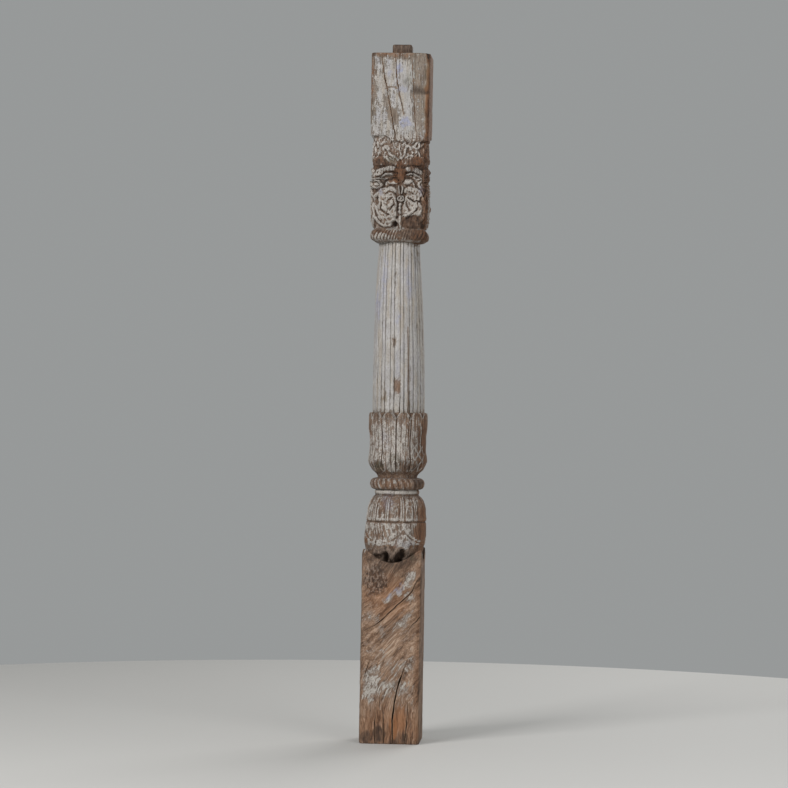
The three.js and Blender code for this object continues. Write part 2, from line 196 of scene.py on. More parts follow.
foot_columns = face_columns(92, 24)
foot_edge = stock_radius(foot_columns, FOOT_HALF, STOCK_POWER)
sole = np.array([[0.0, 2.6], [1.2, 1.0], [4.0, 0.2]])  # height and inset of the rounded lowest edge
level_rows = np.concatenate([sole[:, 0], np.linspace(8, FOOT_PLAIN_TOP, FOOT_ROWS)])
climb = np.linspace(0, 1, CLIMB_ROWS + 1)[1:, None]
edge_height = shoulder_height(foot_edge)
foot_height = np.concatenate([
    level_rows[:, None] + 0 * foot_edge,
    FOOT_PLAIN_TOP + climb * (edge_height - FOOT_PLAIN_TOP),
])
inset = np.concatenate([sole[:, 1], np.zeros(FOOT_ROWS + CLIMB_ROWS - 2), [0.4, 1.8]])[:, None]
foot_plain = foot_edge - inset
foot_radius = foot_plain + foot_relief(foot_columns, foot_edge, foot_height)
foot_radius = np.minimum(foot_radius, foot_edge - inset)
add_band(foot_columns, foot_radius, foot_height, foot_plain)

# The turned shoulder, from the foot's edge in to the root of the pot
inward = np.array([0.05, 0.25, 0.5, 0.75, 1.0])[:, None]
shoulder_radius = foot_radius[-1] + inward * (POT_ROOT - foot_radius[-1])
floor_wave = 1.2 * lumps(foot_columns, shoulder_radius, 9, 0.5, 17)
shoulder_top = np.maximum(shoulder_height(shoulder_radius), SHOULDER_FLOOR + floor_wave)
shoulder_top = np.minimum(shoulder_top, foot_height[-1] + 0.5)
add_band(foot_columns, shoulder_radius, shoulder_top, shoulder_radius)

# The pot
# A turned bulb, once painted all over, with twelve upright petals above an incised line and
# four swags below it. Rot has hollowed its underside.

PETALS = 12
POT_LINE = 597
SWAGS = 4
SWAG_DROP = 50
SWAG_START = np.radians(19)
POT_RADIUS = 83
PETAL_TOP = 664
PETAL_CROWN = 645
HEART_HEIGHT = 620
FAN_WAVES = 26
LEAF_TIPS = 26
LEAF_TIP_HEIGHT = 541
STOCK_LIMIT = 84  # nothing round stands out further than the stock allowed
POT_OUTLINE = [
    (476, 50), (486, 60), (498, 69), (512, 76), (534, 80.5), (556, 82.8), (572, 83), (590, 82.2),
    (604, 81), (633, 78.3), (650, 73.5), (660, 67), (665.5, 61.5), (667.5, 57), (669.5, 57),
    (671, 60), (673, 61), (679, 61), (681, 59.5), (682.5, 57),
]
POT_ROT = [  # across, height, half width, half height and depth of the rotted hollows
    (-52, 500, 19, 9, 8),
    (-23, 502, 13, 18, 22),
    (24, 499, 21, 23, 26),
    (0, 484, 60, 13, 9),
]


def turned(outline, rows):
    """Heights and radii along a turned outline, in equal steps of its length, with its corners
    softened by averaging each point with its two neighbours."""
    points = np.array(outline, float)
    length = np.concatenate([[0], np.cumsum(np.hypot(*np.diff(points, axis=0).T))])
    steps = np.linspace(0, length[-1], rows)
    height, radius = (np.interp(steps, length, points[:, axis]) for axis in (0, 1))
    for line in (height, radius):
        line[1:-1] = (line[:-2] + 2 * line[1:-1] + line[2:]) / 4
    return height[:, None], radius[:, None]


def round_columns(count):
    """Angles in equal steps round the pillar, from the front's left arris."""
    return np.arange(count) / count * TURN - TURN / 8


def line_cut(distance, width):
    """The section of a cut or a fine rib: 1 on its line, falling evenly to 0 at half its width."""
    return np.clip(1 - np.abs(distance) / (width / 2), 0, 1)


def to_nearest(angle, count, start=0.0):
    """Signed angle from the nearest of so many equal marks round the pillar."""
    pitch = TURN / count
    return (angle - start + pitch / 2) % pitch - pitch / 2


def hung_ribs(angle, height):
    """The swags: distance from a rib that hangs like the root of a sine, allowing for how steeply
    it runs, the share below the incised line, and the double rib itself. One swag is worn flat."""
    share = (angle - SWAG_START) % (TURN / SWAGS) / (TURN / SWAGS)
    low_sine = np.sqrt(np.maximum(np.sin(share * np.pi), 0.03))
    steepness = SWAG_DROP * SWAGS / (4 * POT_RADIUS) * np.cos(share * np.pi) / low_sine
    hang = (height - (POT_LINE - 3 - SWAG_DROP * low_sine)) / np.sqrt(1 + steepness ** 2)
    below = smoothly(POT_LINE - height, 0, 4)
    remains = np.where(np.floor((angle - SWAG_START) / (TURN / SWAGS)) == -1, 0.1, 1.0)
    return hang, below, remains * below * (line_cut(hang, 5) + line_cut(hang + 9, 5))


def pot_relief(angle, height):
    """The pot's carving, added up: two ribs between neighbouring petals with a cut outside each,
    a raised heart and arch in each petal, the incised line, the swags with a fan of cuts over
    them, and a row of leaf tips."""
    gap = to_nearest(angle, PETALS, TURN / 24) * POT_RADIUS
    petals = smoothly(height, POT_LINE, POT_LINE + 3) * smoothly(PETAL_TOP - height, 0, 4)
    crown = PETAL_CROWN - 10 * (1 - (np.abs(gap) / 21)) ** 2
    ribs = line_cut(np.abs(gap) - 3.2, 4.4) * 2.0
    ribs = ribs - line_cut(np.abs(gap) - 7.4, 4.6) * 2.2 - line_cut(gap, 3) * 1.6
    heart = line_cut(np.hypot((np.abs(gap) - 21.7) / 0.45, height - HEART_HEIGHT) - 20, 7) * 1.1
    arch = line_cut(height - crown, 3.5) * 1.0 * (np.abs(gap) > 5)
    relief = petals * (ribs + heart + arch)
    relief += -3.2 * line_cut(height - POT_LINE, 8) + 1.0 * line_cut(height - POT_LINE - 7, 7)
    hang, below, double_rib = hung_ribs(angle, height)
    relief += 3.2 * double_rib - 1.0 * below * line_cut(hang + 4.5, 4)
    fan = np.abs(np.sin(angle * FAN_WAVES + hang / 9)) * smoothly(hang, 6, 10) * below
    relief -= 1.2 * fan ** 3
    tip = np.abs(to_nearest(angle, LEAF_TIPS)) * POT_RADIUS
    tip_low = LEAF_TIP_HEIGHT + 5 * noise(angle * 6, 0.5, 0.5, 25)
    relief += 1.3 * np.sqrt(np.clip(1 - (tip / 8.5) ** 2 - ((height - tip_low) / 9) ** 2, 0, 1))
    return relief


pot_columns = round_columns(208)
pot_height, pot_plain = turned(POT_OUTLINE, 59)
pot_skin = pot_plain + pot_relief(pot_columns, pot_height)
pot_skin = pot_skin + 0.8 * furrows(pot_columns, pot_plain, pot_height, 21, 5, 60)
pot_skin = pot_skin + 0.7 * lumps(pot_columns, pot_skin, 14, pot_height / 18, 22)
rot_across = pot_columns * POT_RADIUS + 6 * noise(pot_columns * 9, pot_height / 8, 0.5, 23)
rot_up = pot_height + 6 * noise(pot_columns * 12, pot_height / 14, 0.5, 24)
for middle, up, wide, high, deep in POT_ROT:
    pot_skin = pot_skin - deep * np.sqrt(spot(rot_across, rot_up, (middle, up), (wide, high)))
add_band(pot_columns, np.minimum(pot_skin, STOCK_LIMIT), pot_height, pot_plain)

# The ring
# A half-round turned above the pot's fillet and cut into twenty-eight slanting gadroons.

GADROONS = 28
RING_MIDDLE = 698
RING_HALF_HEIGHT = 15.5
RING_ROOT = 58
RING_PROUD = 16.5
GADROON_SLANT = 0.0035  # radians for each millimetre of height
GADROON_DEPTH = 4.2

ring_columns = round_columns(196)
ring_round = np.linspace(0.04, 0.96, 12)[:, None] * np.pi
ring_height = RING_MIDDLE - RING_HALF_HEIGHT * np.cos(ring_round)
ring_plain = RING_ROOT + RING_PROUD * np.sin(ring_round) ** 0.8
slanted = ring_columns + (ring_height - RING_MIDDLE) * GADROON_SLANT
lobe = to_nearest(slanted, GADROONS) / (TURN / GADROONS)
ring_cut = GADROON_DEPTH * (1 - np.sqrt(np.clip(1 - (2 * lobe) ** 2, 0, 1))) * np.sin(ring_round)
ring_wear = 0.8 * noise(ring_columns * 9, ring_height / 11, 0.3, 31) * np.sin(ring_round)
ring_skin = np.minimum(ring_plain - ring_cut + ring_wear, RING_ROOT + RING_PROUD)
add_band(ring_columns, ring_skin, ring_height, ring_plain)

# The bell
# Twelve upright petals turned and carved above the ring, their tips folded together under a flat
# rim with darts between them.

BELL_RIM = 892
BELL_RADIUS = 75.8
BELL_BEAD = 79.4
BELL_LIMIT = 80.5
DART_SPREAD = 0.62
LOW_LEAF = 748
BELL_OUTLINE = [
    (715, 53), (722, 54.5), (730, 62.5), (738, 69), (747, 74.5), (756, 78), (765, BELL_BEAD),
    (774, 78), (783, 76), (800, BELL_RADIUS), (826, BELL_RADIUS), (836, 77.5), (846, BELL_BEAD),
    (872, BELL_BEAD), (886, 78.8), (BELL_RIM - 1, 77), (BELL_RIM, 73.5), (BELL_RIM - 1, 71),
]


def dart_ribs(angle, height):
    """How far inside a dart at the rim a point is, and the dart's two ribs: they part from the
    gap evenly with the height above the dart's point."""
    gap = to_nearest(angle, PETALS) * BELL_RADIUS
    dart_edge = (height - (BELL_RIM - 17)) * DART_SPREAD
    band = (height > BELL_RIM - 19) & (height < BELL_RIM)
    return dart_edge - np.abs(gap), line_cut(np.abs(gap) - dart_edge, 3.8) * band


def crossed_veins(angle, height):
    """The veins of two overlapping leaves that cross low on the front's right: two sets of evenly
    spaced slanting lines, kept to that place by eased edges."""
    rising = (angle * BELL_RADIUS + height * 0.7) % 24 - 12
    falling = (angle * BELL_RADIUS - height * 0.9 + 6) % 28 - 14
    there = smoothly(angle, 0.55, 0.7) * smoothly(1.35 - angle, 0, 0.1)
    there = there * smoothly(815 - height, 0, 20) * smoothly(height, 726, 738)
    return there * np.maximum(line_cut(rising, 5), line_cut(falling, 5))


def bell_relief(angle, height):
    """The petals' carving, added up: a cut down each gap with a rib on both sides, a vein pair in
    the middle of each petal, darts at the rim bounded by ribs, the crossed veins, and a small
    pointed leaf low in each gap."""
    gap = to_nearest(angle, PETALS) * BELL_RADIUS
    vein = to_nearest(angle, PETALS, TURN / 24) * BELL_RADIUS
    body = smoothly(height, 724, 740) * smoothly(888 - height, 0, 14)
    wander = 1.2 * noise(angle * 3, height / 30, 0.7, 41)
    relief = body * (1.3 * line_cut(np.abs(gap + wander) - 3.2, 3.4) - 3.0 * line_cut(gap + wander, 3.6))
    off_vein = np.abs(vein + wander)
    relief += body * (0.9 * line_cut(off_vein - 3.5, 3) - 1.5 * line_cut(off_vein - 6.4, 2.6))
    relief += body * 1.3 * (np.sqrt(np.clip(1 - (vein / 21) ** 2, 0, 1)) - 0.6)
    in_dart, ribs = dart_ribs(angle, height)
    relief -= 2.4 * smoothly(in_dart, 0, 2) * smoothly(height, BELL_RIM - 18, BELL_RIM - 14)
    relief += 2.0 * ribs + 1.8 * crossed_veins(angle, height)
    leaf = np.hypot(gap / 10, (height - LOW_LEAF) / 17)
    relief += 1.8 * line_cut(leaf - 0.85, 0.5) - 1.2 * np.clip(1 - leaf / 0.5, 0, 1)
    return relief


bell_columns = round_columns(208)
bell_height, bell_plain = turned(BELL_OUTLINE, 53)
bell_skin = bell_plain + bell_relief(bell_columns, bell_height)
bell_skin = bell_skin + 0.9 * furrows(bell_columns, bell_plain, bell_height, 43, 4, 80)
bell_skin = bell_skin + 0.6 * noise(bell_columns * 7, bell_height / 16, 0.2, 44)
add_band(bell_columns, np.minimum(bell_skin, BELL_LIMIT), bell_height, bell_plain)

# The shaft
# Sixteen broad strips and sixteen narrow fillets, with a line incised on each side of a fillet.
# It narrows upwards, faster near the top.

FLUTES = 16
SHAFT_TOP = 1338
SHAFT_FOOT_RADIUS = 70.2
SHAFT_TOP_RADIUS = 55.4
SHAFT_SWELL = 2.2
SHAFT_ROWS = 38
TUCKED_IN = 11  # how far the shaft runs up inside the rope moulding
# Shares of one flute's pitch and the depth there, from the line left of the broad strip
FLUTE_SECTION = np.array([
    (-0.035, 0.2), (0, 2.6), (0.035, 0.3), (0.1, 0), (0.3, -0.5), (0.5, 0), (0.565, 0.3),
    (0.6, 2.6), (0.635, 0.0), (0.7, -0.5), (0.8, -0.7), (0.9, -0.5),
])


def shaft_radius(height):
    """Radius at a height: from the foot's to the top's with a power of the share climbed."""
    share = np.clip((height - BELL_RIM) / (SHAFT_TOP - BELL_RIM), 0, 1)
    return SHAFT_FOOT_RADIUS + (SHAFT_TOP_RADIUS - SHAFT_FOOT_RADIUS) * share ** SHAFT_SWELL


flute_pitch = TURN / FLUTES
flute_starts = (np.arange(FLUTES) - 2 - 0.3) * flute_pitch
shaft_columns = (flute_starts[:, None] + FLUTE_SECTION[:, 0] * flute_pitch).ravel()
flute_depth = np.tile(FLUTE_SECTION[:, 1], FLUTES)
shaft_height = np.linspace(BELL_RIM - 2, SHAFT_TOP + TUCKED_IN, SHAFT_ROWS)[:, None]
shaft_plain = shaft_radius(shaft_height)
shaft_wear = 0.5 * noise(shaft_columns * 6, shaft_height / 45, 0.4, 51)
shaft_wear = shaft_wear + 0.5 * furrows(shaft_columns, shaft_plain, shaft_height, 52, 4, 160)
depth_varies = 1 + 0.75 * noise(shaft_columns * 6, shaft_height / 55, 0.9, 54)
shaft_skin = shaft_plain - flute_depth * depth_varies + shaft_wear
add_band(shaft_columns, shaft_skin, shaft_height, shaft_plain)

# The rope moulding
# A square torus between shaft and capital, cut into slanting teeth like the lay of a rope, with
# a thin fillet below it. On the front a bead marks its middle, and the right half is worn.

ROPE_TEETH = 64
ROPE_MIDDLE = 1367
ROPE_HALF = 78
ROPE_POWER = 6
ROPE_SLANT = 0.0042  # radians for each millimetre of height
ROPE_DEPTH = 5.4
ROPE_OUTLINE = [
    (1350, 57), (1351, 64), (1353, 67), (1355, 69), (1357, 74), (1360, 76.5), (1364, 77.6),
    (1368, ROPE_HALF), (1374, 77), (1380, 74), (1384, 70), (1386, 67),
]
ARRIS_TURN = 48  # degrees from the front's middle round to an arris
FRONT_MIDDLE = 5  # how far right of the face's middle line the front's carving was set out


def front_shift(face, across):
    """Distance across from the carving's own middle line: on the front that line stands a little
    to the right, by less and less towards both arrises."""
    return across - np.where(face == 0, FRONT_MIDDLE * np.clip(1 - (across / 70) ** 2, 0, 1), 0)


def arris(angle, degrees):
    """A bump round one arris, 1 on it: e to the power of 45 times what the cosine of the angle
    from it falls short of 1."""
    return np.exp(45 * (np.cos(angle - np.radians(degrees)) - 1))


rope_columns = face_columns(96, 64)
rope_height, rope_half = turned(ROPE_OUTLINE, 18)
rope_plain = stock_radius(rope_columns, rope_half, ROPE_POWER)
rope_plain = rope_plain + 3 * arris(rope_columns, ARRIS_TURN)
rope_face, rope_across = on_face(rope_columns, rope_plain)
slanted = rope_columns - (rope_height - ROPE_MIDDLE) * ROPE_SLANT
tooth = to_nearest(slanted, ROPE_TEETH) / (TURN / ROPE_TEETH)
on_teeth = smoothly(rope_height, 1355, 1358) * smoothly(1384 - rope_height, 0, 5)
rope_cut = ROPE_DEPTH * (1 - np.sqrt(np.clip(1 - (2 * tooth) ** 2, 0, 1)))
rope_middle = front_shift(rope_face, rope_across)
rope_bead = line_cut(np.hypot(rope_middle / 9, (rope_height - ROPE_MIDDLE) / 12), 2)
rope_cut = np.where((rope_face == 0) & (rope_bead > 0), 2.5 * (1 - np.sqrt(rope_bead)), rope_cut)
rope_worn = (rope_face == 0) * smoothly(rope_across, 12, 26)
rope_wear = 1 + noise(rope_across / 9, rope_height / 8, 0.1, 61)
rope_cut = rope_cut * (1 - 0.35 * rope_worn) + rope_worn * 1.6 * rope_wear
add_band(rope_columns, rope_plain - on_teeth * rope_cut, rope_height, rope_plain)

# The capital
# A cushion carved on each face with a pair of leaf scrolls on a bead string, a knot with two
# drooping leaf branches above them, volutes at the corners and a frieze of running leaves.
# Part of the right scroll's foot has broken off, and the right volute is worn away.

CAPITAL_OUTLINE = [
    (1386, 66), (1389, 68), (1396, 70.5), (1420, 73), (1443, 74), (1475, 74), (1496, 73.5),
    (1515, 72), (1540, 71.5), (1552, 73), (1560, 75.5), (1575, 76), (1600, 73.5), (1640, 74),
]
CAPITAL_POWER = 6
CAPITAL_FOOT = 1387
HEAD_HALF = 80
CAPITAL_ROWS = 124
CAPITAL_TOP = 1646


def curve(points, steps=5):
    """A smooth path through a few points, as a Catmull-Rom spline: each stretch is the cubic whose
    slope at a point runs from the point before it to the point after it."""
    points = np.array(points, float)
    padded = np.vstack([2 * points[0] - points[1], points, 2 * points[-1] - points[-2]])
    before, start, end, after = padded[:-3], padded[1:-2], padded[2:-1], padded[3:]
    t = (np.arange(steps) / steps)[:, None, None]
    path = (2 * start + (end - before) * t + (2 * before - 5 * start + 4 * end - after) * t**2
            + (3 * start - before - 3 * end + after) * t**3) / 2
    return np.vstack([path.transpose(1, 0, 2).reshape(-1, 2), points[-1]])


def spiral(middle, reach, start, end, shrink, steps=22):
    """An oval curl: cosine and sine times two half sizes that shrink evenly along the way. Angles
    are in degrees from the right."""
    share = np.linspace(0, 1, steps)
    angle = np.radians(start + (end - start) * share)
    left = 1 - shrink * share
    x = middle[0] + reach[0] * left * np.cos(angle)
    y = middle[1] + reach[1] * left * np.sin(angle)
    return np.stack([x, y], 1)


def nearest_on(path, across, up):
    """Distance to a path, and the share of its length where the nearest point is: for each of its
    straight steps the foot of the perpendicular, kept within the step."""
    length = np.concatenate([[0], np.cumsum(np.hypot(*np.diff(path, axis=0).T))])
    near = np.full(across.shape, 1e9)
    share = np.zeros(across.shape)
    for i in range(len(path) - 1):
        (x0, y0), (x1, y1) = path[i], path[i + 1]
        step = max((x1 - x0) ** 2 + (y1 - y0) ** 2, 1e-9)
        along = np.clip(((across - x0) * (x1 - x0) + (up - y0) * (y1 - y0)) / step, 0, 1)
        gap = np.hypot(across - x0 - along * (x1 - x0), up - y0 - along * (y1 - y0))
        closer = gap < near
        near = np.where(closer, gap, near)
        share = np.where(closer, (length[i] + along * (length[i + 1] - length[i])) / length[-1], share)
    return near, share


def carved(path, across, up, width, tip):
    """How strongly a stroke of the gouge acts at each point, from 0 to 1: a half-round section as
    wide as the stroke, which swells from its tips with the power 0.6 of a half sine."""
    reach = width / 2
    low, high = path.min(0) - reach, path.max(0) + reach
    inside = (across > low[0]) & (across < high[0]) & (up > low[1]) & (up < high[1])
    strength = np.zeros(across.shape)
    near, share = nearest_on(path, across[inside], up[inside])
    swell = tip + (1 - tip) * np.sin(np.pi * share) ** 0.6
    strength[inside] = swell * np.sqrt(np.clip(1 - (near / (reach * swell)) ** 2, 0, 1))
    return strength


# The left half of a face, which the right half mirrors. A swelling has a middle, two half sizes,
# a tilt, the power of its edge and a height. A ridge is a path with its width, height and the
# share of both that its tips keep. A cut is the same, and goes down from whatever is there.
LOBE = (-38, 1443)
LOBE_REACH = (32, 56)
HALF_SWELLINGS = [
    # The lobe, the leaf folded over inside it, its arched cap, the volute and the shoulder
    (LOBE, LOBE_REACH, 0, 4, 5.0),
    ((-38, 1441), (11, 16), 25, 2, 8.5),
    ((-26, 1488), (15, 13), 10, 3, 7.0),
    ((-61, 1504), (12, 12), 0, 3, 6.0),
    ((-20, 1512), (18, 7), -12, 2, 3.0),
]
HALF_RIDGES = [
    # The lobe's rim, its second band, and the fingers at its foot
    (spiral(LOBE, (29, 52), 75, 305, 0.02, 30), 8.5, 7.8, 0.5),
    (spiral((-38, 1446), (18, 35), 100, 290, 0.05, 26), 8, 7.4, 0.4),
    (curve([(-12, 1410), (-24, 1404), (-38, 1406), (-52, 1416)]), 8, 7.2, 0.3),
    (curve([(-13, 1421), (-24, 1417), (-34, 1418)]), 6.5, 7.6, 0.3),
    (curve([(-13, 1470), (-12, 1450), (-13, 1432)]), 6, 7.0, 0.4),
    # The volute's curl and the leaf that runs down from it
    (spiral((-61, 1504), (9.5, 10), -80, 300, 0.1), 5, 8.6, 0.6),
    (curve([(-69, 1494), (-72, 1478), (-71, 1460)]), 6, 6.0, 0.3),
    # The branch that droops from the knot, its lower lip, and the band over the volute
    (curve([(-7, 1542), (-24, 1546), (-44, 1543), (-60, 1534), (-70, 1520)]), 17, 8.0, 0.4),
    (curve([(-9, 1528), (-26, 1532), (-44, 1529), (-57, 1522)]), 5.5, 8.6, 0.4),
    (curve([(-36, 1521), (-50, 1519), (-64, 1519), (-74, 1511)]), 5, 6.5, 0.4),
]
HALF_CUTS = [
    # The drilled eye, the gaps round the folded leaf and the one below the cap
    (curve([(-58, 1452), (-60, 1461), (-58, 1471)]), 15, 8.5, 0.6),
    (spiral((-60, 1504), (5.5, 6), 0, 360, 0), 4.5, 6.0, 1.0),
    (curve([(-47, 1456), (-48, 1445), (-44, 1434), (-37, 1427), (-28, 1424)]), 5.5, 5.5, 0.5),
    (curve([(-17, 1459), (-20, 1446), (-27, 1434)]), 5.0, 5.0, 0.5),
    (curve([(-35, 1462), (-27, 1466), (-18, 1468)]), 4.5, 4.5, 0.5),
    (curve([(-40, 1478), (-30, 1484), (-20, 1484), (-12, 1478)]), 4.5, 5.0, 0.5),
    (curve([(-33, 1493), (-26, 1496), (-18, 1493)]), 3.0, 2.5, 0.5),
    # Veins that follow the lobe's foot
    *[(spiral(LOBE, (32 * share, 56 * share), 195, 290, 0.02), 1.9, 1.8, 0.3)
      for share in (0.94, 0.80, 0.68)],
    # The groove beside the middle, the undercut below the branch, and its notches
    (curve([(-9, 1484), (-8.5, 1450), (-9, 1412)]), 3.2, 2.6, 0.5),
    (curve([(-12, 1521), (-26, 1520), (-40, 1516), (-46, 1507), (-49, 1494)]), 9, 6.0, 0.5),
    *[(curve([(x, 1555 - abs(x + 30) * 0.16), (x - 2, 1537 - abs(x + 30) * 0.16)], 2), 2.8, 3.0, 0.7)
      for x in range(-62, -12, 7)],
]
MIDDLE_RIDGES = [
    # The knot and its tip, the rosette's ring and eye, the beads and the stem
    (curve([(0, 1511), (0, 1528), (0, 1551)]), 20, 10.0, 0.35),
    (curve([(-12, 1546), (0, 1538), (12, 1546)]), 12, 8.5, 0.4),
    (spiral((1, 1467), (6.8, 6.8), 0, 360, 0), 5.2, 6.6, 1.0),
    (curve([(1, 1466), (1, 1468)], 2), 7.5, 6.2, 0.8),
    *[(curve([(0, up - 2.5), (0, up + 2.5)], 2), 9, 7.0, 0.8) for up in (1450, 1440, 1430)],
    (curve([(0, 1387), (0, 1400), (0, 1421)]), 7, 5.0, 0.5),
    (curve([(-5, 1502), (-6, 1490), (-2, 1480)]), 5, 6.0, 0.4),
    (curve([(5, 1502), (6, 1490), (2, 1480)]), 5, 6.0, 0.4),
]
# What only the front's right half has, where the carver worked it otherwise
RIGHT_SWELLINGS = [((47, 1444), (10, 10), 0, 3, 9.5), ((18, 1487), (8, 8), 0, 3, 8.5)]
RIGHT_RIDGES = [
    (curve([(31, 1497), (38, 1478), (36, 1456), (28, 1444)]), 9, 8.0, 0.4),
    (curve([(62, 1492), (70, 1470), (70, 1440), (64, 1414)]), 5, 7.5, 0.4),
    (curve([(5, 1419), (19, 1424), (38, 1428), (54, 1432)]), 5.5, 8.0, 0.5),
]
RIGHT_CUTS = [
    (curve([(27, 1470), (38, 1459), (50, 1460), (61, 1449)]), 4.0, 5.5, 0.5),
    (curve([(17, 1486), (19, 1488)], 2), 6.0, 5.0, 0.8),
    (curve([(60, 1470), (66, 1478), (62, 1486)]), 5.0, 4.5, 0.5),
]
# One repeat of the frieze's running leaf, about its own middle
FRIEZE_REPEAT = 37
FRIEZE_LEAF = [
    (spiral((0, 1596), (10, 12), -60, 290, 0.5), 8, 2.4, 0.4),
    (curve([(-19, 1566), (-12, 1577), (0, 1577), (9, 1566)]), 8, 2.2, 0.4),
    (curve([(13, 1600), (18, 1609), (12, 1620)]), 8, 2.0, 0.3),
    (curve([(-15, 1606), (-8, 1616), (3, 1618)]), 7.5, 2.0, 0.3),
    (curve([(14, 1574), (19, 1586), (14, 1594)]), 7, 2.0, 0.3),
]
FRIEZE_MIDDLE = [
    # On the front a folded rib runs down to the knot, with worn curls right of it
    (curve([(-42, 1606), (-31, 1589), (-16, 1577), (-1, 1561)]), 6.5, 4.4, 0.3),
    (curve([(-47, 1590), (-34, 1578), (-20, 1568)]), 4.5, 1.6, 0.3),
    (curve([(-22, 1620), (-17, 1606), (-6, 1595)]), 5, 1.6, 0.3),
    (curve([(-5, 1618), (-6, 1600), (0, 1584)]), 4.5, 1.6, 0.3),
    (curve([(10, 1622), (13, 1604), (9, 1588), (3, 1572)]), 7, 3.2, 0.3),
    (spiral((21, 1601), (8, 10), 200, -80, 0.4), 7, 3.0, 0.3),
    (spiral((43, 1606), (8, 9), 40, 300, 0.5), 6.5, 2.8, 0.3),
    (curve([(14, 1577), (26, 1584), (38, 1579), (50, 1588)]), 6, 2.6, 0.3),
]
FRIEZE_SHARE = 0.5  # the frieze's ground is only half as deep
PENDANT_HALF = 30  # how far to each side the middle's own pieces take the leaves' place
GROUND = -3.5  # how deep the carver sank the ground between the leaves
# On the front the foot of the right scroll broke off, and there is a hole beside the stem
BREAK = (38, 1403)
BREAK_REACH = (27, 21)
HOLE = (-9, 1399)
HOLE_REACH = (8, 10)
HOLE_DEPTH = 12


def swelling(across, up, middle, reach, tilt, power):
    """A boss: the square root of one less a power of the distance, counted in its half sizes.
    A high power keeps it flat on top, with steep edges."""
    turn = np.radians(tilt)
    x = ((across - middle[0]) * np.cos(turn) + (up - middle[1]) * np.sin(turn)) / reach[0]
    y = ((up - middle[1]) * np.cos(turn) - (across - middle[0]) * np.sin(turn)) / reach[1]
    return np.sqrt(np.clip(1 - np.hypot(x, y) ** power, 0, 1))


def raise_to(relief, ground, across, up, swellings, ridges):
    """The highest of what is there and of each swelling and ridge, which rise from the ground."""
    for middle, reach, tilt, power, crest in swellings:
        rise = swelling(across, up, middle, reach, tilt, power)
        relief = np.maximum(relief, ground + (crest - ground) * rise)
    for path, width, crest, tip in ridges:
        relief = np.maximum(relief, ground + (crest - ground) * carved(path, across, up, width, tip))
    return relief


def capital_relief(angle, radius, height):
    """The carving of the four faces: the highest of all the swellings and ridges, less the cuts.
    Both halves of a face use one design, so the distance from its middle line is folded over."""
    face, across = on_face(angle, radius)
    height = np.broadcast_to(height, across.shape)
    # The carver's hand was not steady, so every outline wanders a little
    level = height
    middle = front_shift(face, across) + 2.2 * noise(across / 11, level / 12, face * 3.0, 62)
    middle = middle + 1.1 * noise(across / 4.5, level / 5, 0.5, 63)
    height = level + 2.2 * noise(across / 12, level / 11, face * 5.0, 64)
    height = height + 1.1 * noise(across / 5, level / 4.5, 0.5, 60)
    ground = GROUND * smoothly(height, CAPITAL_FOOT, CAPITAL_FOOT + 6) + 0 * across
    ground = ground * (1 - (1 - FRIEZE_SHARE) * smoothly(height, 1566, 1580))
    half = -np.abs(middle)
    relief = raise_to(ground, ground, half, height, HALF_SWELLINGS, HALF_RIDGES)
    relief = raise_to(relief, ground, middle, height, [], MIDDLE_RIDGES)
    front = face == 0
    right = raise_to(relief, ground, middle, height, RIGHT_SWELLINGS, RIGHT_RIDGES)
    relief = np.where(front, right, relief)
    repeat = (across + FRIEZE_REPEAT / 2) % FRIEZE_REPEAT - FRIEZE_REPEAT / 2
    leaves = raise_to(relief, ground, repeat, height, [], FRIEZE_LEAF)
    pendant = raise_to(relief, ground, middle, height, [], FRIEZE_MIDDLE)
    leaves = np.where(front, np.maximum(leaves, pendant), leaves)
    relief = np.where(front & (np.abs(middle) < PENDANT_HALF), pendant, leaves)
    for path, width, depth, tip in HALF_CUTS:
        relief = relief - depth * carved(path, half, height, width, tip)
    for path, width, depth, tip in RIGHT_CUTS:
        relief = relief - front * depth * carved(path, middle, height, width, tip)
    return face, across, relief


def head_foot(angle):
    """Height of the ragged lower edge of the square head: lower on the front's middle and right."""
    low = smoothly(np.sin(angle), -0.45, -0.2) * smoothly(np.cos(angle), -0.2, 0.3)
    return 1634 - 15 * low + 4 * noise(angle * 14, 0.5, 0.5, 66) + 3 * noise(angle * 40, 0.5, 0.5, 65)


capital_columns = face_columns(104, 39)
capital_height = np.linspace(CAPITAL_FOOT, CAPITAL_TOP, CAPITAL_ROWS)[:, None]
capital_half = np.interp(capital_height, *np.array(CAPITAL_OUTLINE).T)
plain_capital = stock_radius(capital_columns, capital_half, CAPITAL_POWER)
face, across, relief = capital_relief(capital_columns, plain_capital, capital_height)
on_front = face == 0
broken = on_front * np.clip(2.2 * spot(across, capital_height, BREAK, BREAK_REACH), 0, 1)
relief = relief * (1 - broken) - broken * (5 + 2 * noise(across / 7, capital_height / 9, 0.3, 68))
relief = relief - on_front * HOLE_DEPTH * spot(across, capital_height, HOLE, HOLE_REACH, 50)
# The front's right volute is worn away, and under the frieze runs a plain band on both sides
worn = on_front * smoothly(across, 56, 64) * spot(0 * across, capital_height, (0, 1512), (1, 30))
relief = relief * (1 - np.sqrt(worn)) - 2 * worn
bare_band = on_front * smoothly(1581 - capital_height, 0, 5) * smoothly(capital_height, 1553, 1558)
bare_band = bare_band * np.maximum(smoothly(across, 26, 32), smoothly(-across, 36, 42))
relief = relief * (1 - bare_band) + 1.5 * bare_band
